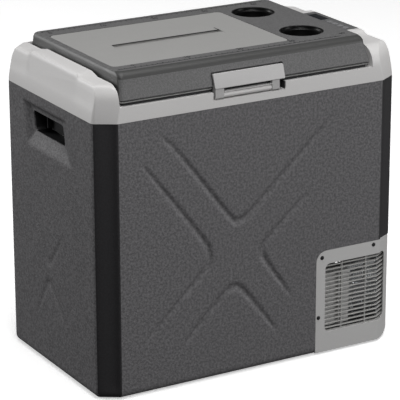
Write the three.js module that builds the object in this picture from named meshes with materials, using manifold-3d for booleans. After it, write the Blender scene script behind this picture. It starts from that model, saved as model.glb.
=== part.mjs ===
// Compressor cooler fridge with a hinged work-top lid, in millimetres, +Z up.
// Origin: centre of the footprint at floor level. +X is to the right of someone facing
// the latch, and -Y is the latch side.
import * as THREE from 'three';
import { mergeVertices } from 'three/addons/utils/BufferGeometryUtils.js';
import Module from 'manifold-3d';

const wasm = await Module();
wasm.setup();

// ---------------------------------------------------------------- driving sizes
const width = 578;
const depth = 358;
// A cabinet corner is a flat facet that takes x off the front or back and y off the side.
const facets = { front: { x: 35, y: 22 }, back: { x: 35, y: 33 } };
const softening = { side: 10, face: 5 };
const wall = 3;
const gap = 0.3;

const shellBottom = 2;
const collarBottom = 474;
const shelfTop = 500;
const ledgeTop = 533.6;
const raisedTop = 539;
const lidBottom = 508;
const lidTop = 552;

const right = width / 2;
const back = depth / 2;
const left = -right;
const front = -back;

// Food compartment: a deep part on the left and a shallow shelf over the machinery.
const cavity = { x0: -228, x1: 211, y0: -139, y1: 125, z0: 50, stepX: 95, stepZ: 235, radius: 25 };
const linerWall = 1.5;

// Machinery bay behind the ventilated cover.
const bay = { x: 125, top: 189, cornerRadius: 20, sideInset: 3 };
const partition = { x: 114, ceiling: 192, thickness: 1.5 };

// Carrying recesses, the same on both sides.
const grip = { y0: -43, y1: 66, z0: 406, z1: 440, dish: 9, spread: 17, depth: 31 };

// Lid, between the two raised sides of the collar.
const lid = { x0: -247, x1: 230, y0: -176, y1: 148, topX0: -241, topX1: 223 };
const lidCentre = (lid.x0 + lid.x1) / 2;
const lidMat = { x0: -232, x1: 101, y0: -125, y1: 105, recess: 5 };
const cups = [['cup_liner_front', 152, -81], ['cup_liner_rear', 150, 72]];
const cupRadius = 37.5;
const cupDepth = 28;

const hinge = { y: 160, z: 527, radius: 6, pinRadius: 2, halfWidth: 31, knuckle: 15 };
const hingeSpots = [['left', lidCentre - 150], ['right', lidCentre + 150]];

const latch = { x: -9, y: -173.5, z: 493, halfWidth: 66.5, halfPocket: 69, barrelRadius: 5.3, pinRadius: 1.7 };
// The latch's two legs, as X spans beside its pivot barrel.
const latchLegs = [[-74, -58], [34, 48]];
const barrelSpan = [-57.5, 33.5];

// ---------------------------------------------------------------- solids and nodes
const fridge = new THREE.Group();

function toSolid(geometry) {
  const bare = (geometry.index ? geometry.toNonIndexed() : geometry.clone());
  bare.deleteAttribute('normal');
  bare.deleteAttribute('uv');
  const merged = mergeVertices(bare, 1e-4);
  const vertProperties = new Float32Array(merged.attributes.position.array);
  const corners = [];
  const index = merged.index.array;
  for (let i = 0; i < index.length; i += 3) {
    const [a, b, c] = [index[i], index[i + 1], index[i + 2]];
    if (a !== b && b !== c && c !== a) corners.push(a, b, c);
  }
  const triVerts = new Uint32Array(corners);
  if (signedVolume(vertProperties, triVerts) < 0) triVerts.reverse();
  return new wasm.Manifold(new wasm.Mesh({ numProp: 3, vertProperties, triVerts }));
}

function signedVolume(points, triangles) {
  const corner = (i) => new THREE.Vector3().fromArray(points, 3 * triangles[i]);
  let total = 0;
  for (let i = 0; i < triangles.length; i += 3) {
    total += corner(i).dot(corner(i + 1).cross(corner(i + 2)));
  }
  return total;
}

function toGeometry(solid) {
  const { vertProperties, triVerts } = solid.getMesh();
  const geometry = new THREE.BufferGeometry();
  geometry.setAttribute('position', new THREE.BufferAttribute(new Float32Array(vertProperties), 3));
  geometry.setIndex(new THREE.BufferAttribute(new Uint32Array(triVerts), 1));
  geometry.computeVertexNormals();
  return geometry;
}

function place(name, solid, finish) {
  const [color, roughness, metalness] = finish;
  const material = new THREE.MeshStandardMaterial({ color, roughness, metalness });
  const mesh = new THREE.Mesh(toGeometry(solid), material);
  mesh.name = name;
  fridge.add(mesh);
  return mesh;
}

const finishes = {
  darkShell: ['#505052', 0.6, 0],
  lightGrey: ['#b9b8b6', 0.45, 0],
  lidGrey: ['#5c5c5e', 0.6, 0],
  matGrey: ['#8a8b8a', 0.5, 0],
  black: ['#161617', 0.6, 0],
  rubber: ['#1d1d1e', 0.9, 0],
  white: ['#e4e5e3', 0.45, 0],
  foam: ['#d8cfa6', 0.95, 0],
  steel: ['#a7a9ab', 0.35, 1],
  blackSteel: ['#1b1b1c', 0.45, 0.2],
  aluminium: ['#c4c6c8', 0.35, 1],
  copper: ['#b87450', 0.35, 1],
  lens: ['#0d1216', 0.08, 0],
  board: ['#1f5a3a', 0.6, 0],
};

// ---------------------------------------------------------------- shape helpers
function box(x0, x1, y0, y1, z0, z1) {
  const geometry = new THREE.BoxGeometry(x1 - x0, y1 - y0, z1 - z0);
  geometry.translate((x0 + x1) / 2, (y0 + y1) / 2, (z0 + z1) / 2);
  return toSolid(geometry);
}

function roundedOutline(x0, y0, x1, y1, radius) {
  const outline = new THREE.Shape();
  outline.moveTo(x0 + radius, y0);
  outline.lineTo(x1 - radius, y0);
  outline.absarc(x1 - radius, y0 + radius, radius, -Math.PI / 2, 0, false);
  outline.lineTo(x1, y1 - radius);
  outline.absarc(x1 - radius, y1 - radius, radius, 0, Math.PI / 2, false);
  outline.lineTo(x0 + radius, y1);
  outline.absarc(x0 + radius, y1 - radius, radius, Math.PI / 2, Math.PI, false);
  outline.lineTo(x0, y0 + radius);
  outline.absarc(x0 + radius, y0 + radius, radius, Math.PI, 1.5 * Math.PI, false);
  return outline;
}

function polygon(points) {
  return new THREE.Shape(points.map(([u, v]) => new THREE.Vector2(u, v)));
}

// Points of a convex outline given as [x, y, radius]; every corner becomes `steps` chords.
function roundedPoints(corners, steps = 2) {
  return corners.flatMap(([x, y, radius], i) => {
    const corner = new THREE.Vector2(x, y);
    const towards = (other) => new THREE.Vector2(other[0], other[1]).sub(corner).normalize();
    const before = towards(corners.at(i - 1));
    const after = towards(corners[(i + 1) % corners.length]);
    const half = Math.acos(before.dot(after)) / 2;
    const centre = before.clone().add(after).normalize().multiplyScalar(radius / Math.sin(half)).add(corner);
    const start = before.multiplyScalar(radius / Math.tan(half)).add(corner).sub(centre);
    const turn = Math.PI - 2 * half;
    return Array.from({ length: steps + 1 }, (_, k) => {
      const spoke = start.clone().rotateAround(new THREE.Vector2(), (turn * k) / steps);
      return [centre.x + spoke.x, centre.y + spoke.y];
    });
  });
}

// A solid through horizontal outlines with equal point counts, each given as [z, points].
function lofted(rings) {
  const count = rings[0][1].length;
  const points = rings.flatMap(([z, ring]) => ring.map(([x, y]) => [x, y, z]));
  const index = [];
  for (let k = 0; k + 1 < rings.length; k += 1) {
    for (let i = 0; i < count; i += 1) {
      const [a, b] = [k * count + i, k * count + ((i + 1) % count)];
      index.push(a, b, b + count, a, b + count, a + count);
    }
  }
  const last = (rings.length - 1) * count;
  for (let i = 1; i + 1 < count; i += 1) index.push(0, i + 1, i, last, last + i, last + i + 1);
  const geometry = new THREE.BufferGeometry();
  geometry.setAttribute('position', new THREE.Float32BufferAttribute(points.flat(), 3));
  geometry.setIndex(index);
  return toSolid(geometry);
}

// Outline in X and Y, from z0 to z1.
function alongZ(outline, z0, z1, curveSegments = 2) {
  const geometry = new THREE.ExtrudeGeometry(outline, { depth: z1 - z0, bevelEnabled: false, curveSegments });
  geometry.translate(0, 0, z0);
  return toSolid(geometry);
}

// Outline in Y and Z, from x0 to x1.
function alongX(outline, x0, x1, curveSegments = 2) {
  const geometry = new THREE.ExtrudeGeometry(outline, { depth: x1 - x0, bevelEnabled: false, curveSegments });
  const turn = new THREE.Matrix4().makeBasis(
    new THREE.Vector3(0, 1, 0), new THREE.Vector3(0, 0, 1), new THREE.Vector3(1, 0, 0));
  geometry.applyMatrix4(turn);
  geometry.translate(x0, 0, 0);
  return toSolid(geometry);
}

// Outline in X and Z, from y0 to y1.
function alongY(outline, y0, y1, curveSegments = 2) {
  const geometry = new THREE.ExtrudeGeometry(outline, { depth: y1 - y0, bevelEnabled: false, curveSegments });
  geometry.rotateX(Math.PI / 2);
  geometry.translate(0, y1, 0);
  return toSolid(geometry);
}

// A block whose horizontal outline swells by `round` away from both ends.
function pillow(outline, z0, z1, round, roundHeight, segments = 3) {
  const geometry = new THREE.ExtrudeGeometry(outline, {
    depth: z1 - z0 - 2 * roundHeight,
    bevelSize: round,
    bevelThickness: roundHeight,
    bevelSegments: segments,
    curveSegments: 2,
  });
  geometry.translate(0, 0, z0 + roundHeight);
  return toSolid(geometry);
}

function rodAlongX(radius, x0, x1, y, z, sides = 14) {
  const geometry = new THREE.CylinderGeometry(radius, radius, x1 - x0, sides);
  geometry.rotateZ(Math.PI / 2);
  geometry.translate((x0 + x1) / 2, y, z);
  return toSolid(geometry);
}

function rodAlongY(radius, y0, y1, x, z, sides = 14) {
  const geometry = new THREE.CylinderGeometry(radius, radius, y1 - y0, sides);
  geometry.translate(x, (y0 + y1) / 2, z);
  return toSolid(geometry);
}

// Turned piece about a vertical axis; the profile is [radius, height] pairs.
function turned(profile, x, y, sides = 20) {
  const points = profile.map(([r, h]) => new THREE.Vector2(r, h));
  const geometry = new THREE.LatheGeometry(points, sides);
  geometry.rotateX(Math.PI / 2);
  geometry.translate(x, y, 0);
  return toSolid(geometry);
}

function pipe(points, radius, steps, sides = 8) {
  const path = new THREE.CatmullRomCurve3(points.map((p) => new THREE.Vector3(...p)), false, 'catmullrom', 0.2);
  const section = new THREE.Shape();
  section.absarc(0, 0, radius, 0, 2 * Math.PI, false);
  const geometry = new THREE.ExtrudeGeometry(section, {
    steps,
    extrudePath: path,
    bevelEnabled: false,
    curveSegments: sides,
  });
  return toSolid(geometry);
}

const union = (solids) => solids.reduce((whole, solid) => whole.add(solid));

// The cabinet's outline, moved in by separate amounts at its sides, facets, and front and back.
function cabinetRing(sideIn, facetIn, faceIn) {
  const facetEnds = ({ x, y }) => {
    const reach = x * y + facetIn * Math.hypot(x, y);
    return [(reach - x * faceIn) / y, (reach - y * sideIn) / x];
  };
  const [fx, fy] = facetEnds(facets.front);
  const [bx, by] = facetEnds(facets.back);
  const [x0, x1, y0, y1] = [left + sideIn, right - sideIn, front + faceIn, back - faceIn];
  const side = Math.max(softening.side - sideIn, 1);
  const face = Math.max(softening.face - faceIn, 1);
  return roundedPoints([
    [left + fx, y0, face], [right - fx, y0, face], [x1, front + fy, side], [x1, back - by, side],
    [right - bx, y1, face], [left + bx, y1, face], [x0, back - by, side], [x0, front + fy, side],
  ]);
}

function mirrorX(solid) {
  return solid.mirror([1, 0, 0]);
}

// ---------------------------------------------------------------- shared spaces
const bottomRound = 12;

// The tub that the shell's outer and inner faces follow.
function tub(inset, top) {
  const round = bottomRound - inset;
  const level = (rise, moved) => [shellBottom + inset + rise, cabinetRing(moved, moved, moved)];
  const rings = [0, 1, 2, 3].map((k) => {
    const angle = (k / 3) * (Math.PI / 2);
    return level(round * (1 - Math.cos(angle)), inset + round * (1 - Math.sin(angle)));
  });
  return lofted([...rings, level(top - shellBottom - inset, inset)]);
}

function foodSpace(grow, top) {
  const c = cavity;
  const outline = (x1) => roundedOutline(
    c.x0 - grow, c.y0 - grow, x1 + grow, c.y1 + grow, c.radius + grow);
  return alongZ(outline(c.x1), c.stepZ - grow, top)
    .add(alongZ(outline(c.stepX), c.z0 - grow, top));
}

// The corner of the cabinet that the ventilated cover fills, `grow` larger all round.
function baySpace(grow) {
  const reach = 2 * right;
  const outline = roundedOutline(
    bay.x - grow, -reach, reach, bay.top + grow, bay.cornerRadius + grow);
  return alongY(outline, 2 * front, 2 * back, 3);
}

// The soft dish around a hand hole, on the left side.
function dish(grow) {
  const g = grip;
  const outline = roundedOutline(g.y0 - grow, g.z0 - grow, g.y1 + grow, g.z1 + grow, 6);
  const form = pillow(outline, 0, 80, g.spread, g.dish, 3);
  const turn = new THREE.Matrix4().makeBasis(
    new THREE.Vector3(0, 1, 0), new THREE.Vector3(0, 0, 1), new THREE.Vector3(1, 0, 0));
  const floorX = left + g.dish + grow;
  turn.setPosition(floorX - 80, 0, 0);
  return form.transform(turn.elements);
}

const cupHoleOutline = roundedOutline(
  grip.y0 - wall, grip.z0 - wall, grip.y1 + wall, grip.z1 + 2 * wall, 8);

function handCup(grow) {
  const g = grip;
  const x0 = left + g.dish + wall + gap;
  const outer = roundedOutline(
    g.y0 - wall - 2 - grow, g.z0 - wall - 2 - grow, g.y1 + wall + 2 + grow, g.z1 + 2 * wall + 2 + grow, 8);
  return alongX(outer, x0, left + g.dish + g.depth + grow, 3);
}

// ---------------------------------------------------------------- cabinet shell
function makeOuterShell() {
  const top = collarBottom - gap / 2;
  const outside = tub(0, top);
  const skin = outside.subtract(tub(wall, top + 1));
  const dishWall = dish(wall).intersect(outside);
  const hole = alongX(
    roundedOutline(grip.y0, grip.z0, grip.y1, grip.z1, 6), left - 1, left + grip.dish + 2 * wall, 3);
  let shell = skin;
  for (const side of [(s) => s, mirrorX]) {
    shell = shell.add(side(dishWall)).subtract(side(dish(0))).subtract(side(hole));
  }
  shell = shell.subtract(baySpace(gap));
  for (const [, x, y] of feet) shell = shell.subtract(footHole(x, y));
  return shell;
}

const footX = 235;
const footY = 130;
const footStem = 5;
const feet = [
  ['foot_front_left', -footX, -footY],
  ['foot_front_right', footX, -footY],
  ['foot_rear_left', -footX, footY],
  ['foot_rear_right', footX, footY],
];

function footHole(x, y) {
  return turned([[0, 0], [footStem + gap, 0], [footStem + gap, 12], [0, 12]], x, y, 12);
}

function makeFoot(x, y) {
  const seat = shellBottom - gap;
  const profile = [
    [0, 0], [15, 0], [17, seat], [footStem, seat], [footStem, 5.3], [7.5, 5.4], [5, 9], [0, 9],
  ];
  return turned(profile, x, y, 16);
}

place('outer_shell', makeOuterShell(), finishes.darkShell);
for (const [name, x, y] of feet) place(name, makeFoot(x, y), finishes.rubber);

function makeHandleCup() {
  const g = grip;
  const x0 = left + g.dish + wall + gap;
  const x1 = left + g.dish + g.depth;
  const pocket = alongX(cupHoleOutline, x0 - 1, x1 - 2, 3);
  const ribY = 27;
  const rib = box(x0 + 1, x1 - 1, ribY - 1, ribY + 1, g.z0 + 12, g.z1 + 7);
  const backStep = box(x0 + 9, x1 - 1, g.y0 - 4, ribY - 1.5, g.z0 + 9, g.z1 + 7);
  return handCup(0).subtract(pocket).add(rib).add(backStep.intersect(handCup(0)));
}

place('handle_cup_left', makeHandleCup(), finishes.black);
place('handle_cup_right', mirrorX(makeHandleCup()), finishes.black);

// ---------------------------------------------------------------- collar
// Levels of the collar: height, then how far in the sides, the facets, and front and back are.
const collarLevels = [
  [400, 0, 0, 0], [collarBottom, 0, 0, 0], [490, 2.5, 1.5, 0], [503, 5.5, 3.5, 0], [513, 7.5, 5.5, 1.5],
  [519, 8.8, 7.5, 4.5], [524, 9.8, 9.8, 9], [528, 10.7, 12.2, 14], [531, 11.8, 14.8, 20],
  [532.6, 13.5, 17.5, 24], [533.3, 17, 21, 29], [ledgeTop, 26, 30, 38],
];

function collarForm(grow) {
  return lofted(collarLevels.map(([z, side, facet, face]) => (
    [z, cabinetRing(side + grow, facet + grow, face + grow)])));
}

const panel = { x0: 236, x1: 273.5, y0: -74, y1: 62, thickness: 5 };

// The space between the side walls that the lid drops into.
const lidSlot = { x0: lid.x0 - 2, x1: lid.x1 + 2, y1: 152 };

// The higher middle part of a side wall; `inner` is the wall's face beside the lid.
function raisedPart(sign, inner) {
  const outer = (inset) => sign * (right - inset);
  const profile = polygon([
    [outer(5.7), 504], [outer(10.8), 528], [outer(11.6), 534], [outer(12.3), 537.4], [outer(13.6), 538.7],
    [outer(15.3), raisedTop], [inner, raisedTop], [inner, 504],
  ]);
  const sloped = polygon([
    [-93, 503], [-93, 533], [-83, raisedTop + 1], [75, raisedTop + 1], [89, 533], [89, 503],
  ]);
  return alongY(profile, -100, 100).intersect(alongX(sloped, 2 * left, 2 * right));
}

// Hollow inside a side wall of the collar; `inner` is the wall's face beside the lid.
function sideHollow(sign, inner) {
  const edge = inner + sign * wall;
  const reach = sign * 2 * right;
  const space = box(Math.min(edge, reach), Math.max(edge, reach), -135, 140, 470, 529);
  return collarForm(wall).intersect(space);
}

function latchPocket() {
  const p = latch;
  return box(p.x - p.halfPocket, p.x + p.halfPocket, 2 * front, -163, 486.5, 520);
}

// The pivot barrel between the latch's legs, with the web and the lip that hold it.
function latchBarrel() {
  const p = latch;
  const [x0, x1] = barrelSpan;
  return union([
    rodAlongX(p.barrelRadius, x0, x1, p.y, p.z),
    box(x0, x1, p.y, -162, p.z - 4, p.z + 3.5),
    box(x0, x1, p.y, -172, p.z, shelfTop),
    box(x0, x1, front, -172, shelfTop - 1.2, shelfTop),
  ]);
}

function makeCollar() {
  const form = collarForm(0);
  const above = box(2 * left, 2 * right, 2 * front, 2 * back, collarBottom + gap / 2, 600);
  let collar = form.add(raisedPart(-1, lidSlot.x0)).add(raisedPart(1, lidSlot.x1)).intersect(above);
  collar = collar.subtract(box(lidSlot.x0, lidSlot.x1, 2 * front, lidSlot.y1, shelfTop, 600));
  collar = collar.subtract(collarForm(wall).intersect(
    box(2 * left, 2 * right, 2 * front, 2 * back, 400, shelfTop - wall)));
  collar = collar.subtract(sideHollow(-1, lidSlot.x0)).subtract(sideHollow(1, lidSlot.x1));
  collar = collar.subtract(box(-120, 100, 155, 170, 470, 522));
  collar = collar.add(box(
    latch.x - latch.halfPocket - wall, latch.x + latch.halfPocket + wall, front + 1, -160, 483.5, 498));
  collar = collar.subtract(latchPocket()).add(latchBarrel());
  collar = collar.subtract(rodAlongX(latch.pinRadius + gap, latch.x - 66, latch.x + 66, latch.y, latch.z, 12));
  for (const [, x] of hingeSpots) {
    collar = collar.subtract(box(x - hinge.halfWidth - 2, x + hinge.halfWidth + 2, 150, 171, shelfTop, 600));
  }
  const seat = raisedTop - panel.thickness;
  collar = collar.subtract(box(
    panel.x0 - gap, panel.x1 + gap, panel.y0 - gap, panel.y1 + gap, seat - gap, 600));
  collar = collar.subtract(box(panel.x0 + 4, panel.x1 - 4, panel.y0 + 4, panel.y1 - 4, 520, 600));
  const mouth = roundedOutline(cavity.x0, cavity.y0, cavity.x1, cavity.y1, cavity.radius);
  return collar.subtract(alongZ(mouth, 400, 600));
}

place('rim_collar', makeCollar(), finishes.lightGrey);

// ---------------------------------------------------------------- food compartment
const linerTop = shelfTop - wall - gap;

function makeLiner() {
  const skin = foodSpace(linerWall, linerTop).subtract(foodSpace(0, 600));
  const c = cavity;
  const lip = 10;
  const flange = alongZ(
    roundedOutline(c.x0 - lip, c.y0 - lip, c.x1 + lip, c.y1 + lip, c.radius + lip),
    linerTop - linerWall, linerTop).subtract(foodSpace(0, 600));
  return skin.add(flange);
}

function makeEvaporator() {
  const inner = linerWall + gap;
  const band = box(2 * left, 2 * right, 2 * front, 2 * back, 262, 478);
  return foodSpace(inner + 1.5, 600).subtract(foodSpace(inner, 600)).intersect(band);
}

const pipeChannel = { x0: 236, x1: 268, y0: 30, y1: 90, top: 310 };

function makeFoam() {
  const top = linerTop - linerWall - gap;
  let foam = tub(wall + gap, collarBottom).add(collarForm(wall + gap).intersect(
    box(2 * left, 2 * right, 2 * front, 2 * back, collarBottom - 10, top)));
  foam = foam.subtract(foodSpace(linerWall + 2.1, 600));
  const p = partition;
  foam = foam.subtract(box(p.x - gap, 2 * right, 2 * front, 2 * back, -10, p.ceiling + p.thickness + gap));
  for (const side of [(s) => s, mirrorX]) {
    foam = foam.subtract(side(dish(wall + gap))).subtract(side(handCup(gap)));
  }
  foam = foam.subtract(box(
    latch.x - latch.halfPocket - 5, latch.x + latch.halfPocket + 5, 2 * front, -158, 482, 520));
  const c = pipeChannel;
  foam = foam.subtract(box(c.x0, c.x1, c.y0, c.y1, 0, c.top));
  foam = foam.subtract(box(214, c.x1, c.y0, c.y1, c.top - 40, c.top));
  for (const [, x, y] of feet) foam = foam.subtract(turned([[0, 0], [10, 0], [10, 12], [0, 12]], x, y, 8));
  return foam;
}

place('inner_liner', makeLiner(), finishes.white);
place('evaporator_wrap', makeEvaporator(), finishes.aluminium);
place('insulation_foam', makeFoam(), finishes.foam);

const lamp = box(cavity.x1 - 3, cavity.x1 - gap, -25, 25, 452, 468);
place('interior_light', lamp, finishes.white);

const basket = { x0: -219, x1: 85, y0: -130, y1: 116, z0: 53, z1: 285, wire: 3 };

function makeBasket() {
  const b = basket;
  const w = b.wire;
  const hoop = (z) => box(b.x0, b.x1, b.y0, b.y1, z, z + w)
    .subtract(box(b.x0 + w, b.x1 - w, b.y0 + w, b.y1 - w, z - 1, z + w + 1));
  const bars = [hoop(b.z1 - w)];
  const across = 5;
  for (let i = 0; i < across; i += 1) {
    const x = b.x0 + ((b.x1 - b.x0 - w) * (i + 0.5)) / across;
    bars.push(box(x, x + w, b.y0, b.y1, b.z0, b.z1 - 1)
      .subtract(box(x - 1, x + w + 1, b.y0 + w, b.y1 - w, b.z0 + w, b.z1)));
  }
  const along = 4;
  for (let i = 0; i < along; i += 1) {
    const y = b.y0 + ((b.y1 - b.y0 - w) * (i + 0.5)) / along;
    bars.push(box(b.x0, b.x1, y, y + w, b.z0, b.z1 - 1)
      .subtract(box(b.x0 + w, b.x1 - w, y - 1, y + w + 1, b.z0 + w, b.z1)));
  }
  return union(bars);
}

place('wire_basket', makeBasket(), finishes.steel);

// ---------------------------------------------------------------- machinery bay
const cover = { x1: right - bay.sideInset, wall: 2.5, bottom: 4, rightRound: 20 };
const screwRadius = 1.5;
const screws = [
  ['cover_screw_front_1', 136.5, 177, -1],
  ['cover_screw_front_2', 242, 182, -1],
  ['cover_screw_front_3', 130.5, 68.5, -1],
  ['cover_screw_rear_1', 136.5, 177, 1],
  ['cover_screw_rear_2', 242, 182, 1],
];

const grilles = {
  front: { a0: 143.5, a1: 272, z0: 39.5, z1: 164.5 },
  side: { a0: -110, a1: 110, z0: 39.5, z1: 164.5 },
  rear: { a0: 143.5, a1: 264, z0: 39.5, z1: 132 },
};
const inlets = [['dc_inlet', 168, 150, 13, 9], ['ac_inlet', 222, 150, 16, 10.5]];

function grilleWindow(key, grow, near, far) {
  const g = grilles[key];
  const outline = roundedOutline(g.a0 - grow, g.z0 - grow, g.a1 + grow, g.z1 + grow, 10 + grow);
  return key === 'side' ? alongX(outline, near, far, 2) : alongY(outline, near, far, 2);
}

// The bay's outer skin: straight left edge, top corner and heel rounded in the front view.
function coverSkin(inset) {
  const [x0, x1] = [bay.x - 40, cover.x1 - inset];
  const z1 = bay.top;
  const footprint = cabinetRing(bay.sideInset + inset, inset, inset);
  const heel = cover.rightRound - inset;
  const elevation = new THREE.Shape();
  elevation.moveTo(x0, cover.bottom - 20);
  elevation.lineTo(x0, z1);
  elevation.lineTo(x1, z1);
  elevation.lineTo(x1, cover.bottom + inset + heel);
  elevation.absarc(x1 - heel, cover.bottom + inset + heel, heel, 0, -Math.PI / 2, true);
  elevation.lineTo(x0 + 1, cover.bottom + inset);
  const top = z1 + (inset > 0 ? 5 : 0);
  return lofted([[cover.bottom + inset, footprint], [top, footprint]])
    .intersect(alongY(elevation, 2 * front, 2 * back, 3));
}

function makeVentCover() {
  const visible = alongY(
    roundedOutline(bay.x, -80, 2 * right, bay.top, bay.cornerRadius), 2 * front, 2 * back, 3);
  let skin = coverSkin(0).intersect(visible).subtract(coverSkin(cover.wall));
  const under = box(
    bay.x - 5, cover.x1 - cover.rightRound, front + 8, back - 8, -5, cover.bottom + 10);
  skin = skin.subtract(under);
  skin = skin.subtract(grilleWindow('front', 0, 2 * front, front + 20));
  skin = skin.subtract(grilleWindow('rear', 0, back - 20, 2 * back));
  skin = skin.subtract(grilleWindow('side', 0, right - 20, 2 * right));
  for (const [, x, z, side] of screws) {
    const near = side < 0 ? front - 5 : back - 10;
    skin = skin.subtract(rodAlongY(screwRadius + gap, near, near + 15, x, z, 10));
  }
  for (const [, x, z, halfWidth, halfHeight] of inlets) {
    skin = skin.subtract(box(
      x - halfWidth, x + halfWidth, back - 10, back + 5, z - halfHeight, z + halfHeight));
  }
  return skin;
}

place('vent_cover', makeVentCover(), finishes.lightGrey);

// A louvre panel that follows the inside of the cover's skin.
function louvrePanel(key, slotCount) {
  const g = grilles[key];
  const rim = 3;
  const slat = 1.8;
  const pitch = (g.z1 - g.z0 - 2 * rim) / slotCount;
  const near = cover.wall + gap;
  const skin = coverSkin(near).subtract(coverSkin(near + 2));
  const reach = 12;
  const spans = {
    front: (a0, a1, z0, z1) => box(a0, a1, front, front + reach, z0, z1),
    rear: (a0, a1, z0, z1) => box(a0, a1, back - reach, back, z0, z1),
    side: (a0, a1, z0, z1) => box(right - reach, right, a0, a1, z0, z1),
  };
  const slots = [];
  for (let row = 0; row < slotCount; row += 1) {
    const low = g.z0 + rim + row * pitch + slat / 2;
    const shortened = row === 0 || row === slotCount - 1 ? 7 : rim;
    slots.push(spans[key](g.a0 + shortened, g.a1 - shortened, low, low + pitch - slat));
  }
  const windows = {
    front: () => grilleWindow('front', 5, 2 * front, front + 20),
    rear: () => grilleWindow('rear', 5, back - 20, 2 * back),
    side: () => grilleWindow('side', 5, right - 20, 2 * right),
  };
  return skin.intersect(windows[key]()).subtract(union(slots));
}

place('vent_grille_front', louvrePanel('front', 16), finishes.lightGrey);
place('vent_grille_rear', louvrePanel('rear', 12), finishes.lightGrey);
place('vent_grille_side', louvrePanel('side', 16), finishes.lightGrey);

function makeScrew(x, z, side) {
  const face = side * back;
  const head = 3.4;
  const proud = 1.4;
  const profile = [
    [0, proud + gap], [head * 0.6, proud + gap], [head, 0.5 + gap], [head, gap], [screwRadius, gap],
    [screwRadius, -12], [0, -13],
  ];
  const points = profile.map(([r, h]) => new THREE.Vector2(r, h));
  const geometry = new THREE.LatheGeometry(points, 8);
  if (side < 0) geometry.rotateX(Math.PI);
  geometry.translate(x, face, z);
  return toSolid(geometry);
}

for (const [name, x, z, side] of screws) place(name, makeScrew(x, z, side), finishes.black);

function makePartition() {
  const p = partition;
  const t = p.thickness;
  const [y0, y1] = [front + 7, back - 7];
  const wallSheet = box(p.x, p.x + t, y0, y1, 6, p.ceiling + t);
  const roof = box(p.x, right - 4, y0, y1, p.ceiling, p.ceiling + t);
  let sheet = wallSheet.add(roof);
  for (const [near, far] of [[y0, y0 + t], [y1 - t, y1]]) {
    sheet = sheet.add(box(p.x, 135, near, far, 20, p.ceiling));
    sheet = sheet.add(box(p.x, 250, near, far, 173, p.ceiling));
  }
  for (const [, x, z, side] of screws) {
    const near = side < 0 ? front : back - 20;
    sheet = sheet.subtract(rodAlongY(screwRadius + gap, near, near + 20, x, z, 10));
  }
  const c = pipeChannel;
  sheet = sheet.subtract(box(c.x0 + 4, c.x1 - 4, c.y0 + 4, c.y1 - 4, 180, 210));
  return sheet.intersect(tub(wall + gap, 300));
}

place('bay_partition', makePartition(), finishes.aluminium);

const tray = { x0: bay.x + 2, x1: 255, y0: front + 9, y1: back - 9, z0: shellBottom + 1, thickness: 2 };

function makeTray() {
  const t = tray;
  const floor = box(t.x0, t.x1, t.y0, t.y1, t.z0, t.z0 + t.thickness);
  let sheet = floor.add(box(t.x1 - 2, t.x1, t.y0, t.y1, t.z0, 14));
  for (const [, x, y] of feet) sheet = sheet.subtract(footHole(x, y));
  return sheet;
}

place('compressor_tray', makeTray(), finishes.steel);

// Compressor, on three rubber grommets.
const pump = { x: 196, y: 10, radius: 50, z0: 24, z1: 148 };
const grommets = [
  ['compressor_grommet_1', 146, -42],
  ['compressor_grommet_2', 242, -42],
  ['compressor_grommet_3', 194, 76],
];
const trayTop = tray.z0 + tray.thickness;

function makeCompressor() {
  const p = pump;
  const r = p.radius;
  const dome = [
    [0, p.z0], [r - 12, p.z0], [r - 3, p.z0 + 8], [r - 2, 78], [r + 1, 79], [r + 1, 83], [r - 2, 84],
    [r - 4, p.z1 - 22], [r - 16, p.z1 - 6], [0, p.z1],
  ];
  const body = turned(dome, p.x, p.y, 24);
  const plate = polygon([
    [136, -52], [252, -52], [252, -32], [206, 88], [182, 88], [136, -32],
  ]);
  let mount = alongZ(plate, p.z0 - 3, p.z0 + 1);
  for (const [, x, y] of grommets) mount = mount.subtract(turned([[0, 0], [5, 0], [5, 40], [0, 40]], x, y, 12));
  return body.add(mount);
}

place('compressor', makeCompressor(), finishes.blackSteel);
for (const [name, x, y] of grommets) {
  const low = trayTop + gap;
  const high = pump.z0 - 3 - gap;
  const profile = [[0, low], [9, low], [9, high], [4.5, high], [4.5, pump.z0 + 2], [0, pump.z0 + 2]];
  place(name, turned(profile, x, y, 12), finishes.rubber);
}

// Condenser: an aluminium fin pack with a serpentine tube in front of it.
const condenser = { x0: 203, x1: 264, y0: -160, y1: -140, z0: 32, z1: 166 };

function makeFins() {
  const c = condenser;
  const count = 14;
  const pitch = (c.x1 - c.x0) / count;
  const outline = [[c.x0, c.y1], [c.x1, c.y1]];
  for (let i = 0; i < count; i += 1) {
    const x = c.x1 - i * pitch;
    outline.push([x, c.y0], [x - 1, c.y0], [x - 1, c.y1 - 2]);
    if (i + 1 < count) outline.push([x - pitch, c.y1 - 2]);
  }
  outline.push([c.x0, c.y1 - 2]);
  return alongZ(polygon(outline), c.z0, c.z1);
}

function makeCoil() {
  const c = condenser;
  const y = c.y0 - 4;
  const passes = 6;
  const points = [];
  for (let i = 0; i < passes; i += 1) {
    const z = c.z0 + 8 + (i * (c.z1 - c.z0 - 16)) / (passes - 1);
    const ends = i % 2 ? [c.x1 - 6, c.x0 + 6] : [c.x0 + 6, c.x1 - 6];
    points.push([ends[0], y, z], [ends[1], y, z]);
  }
  return pipe(points, 2.5, 44, 3);
}

place('condenser_fins', makeFins(), finishes.aluminium);
place('condenser_coil', makeCoil(), finishes.steel);

// Cooling fan behind the condenser.
const fan = { x: 200, z: 98, half: 60, bore: 56, y0: -126, y1: -101, hub: 19 };

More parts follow.
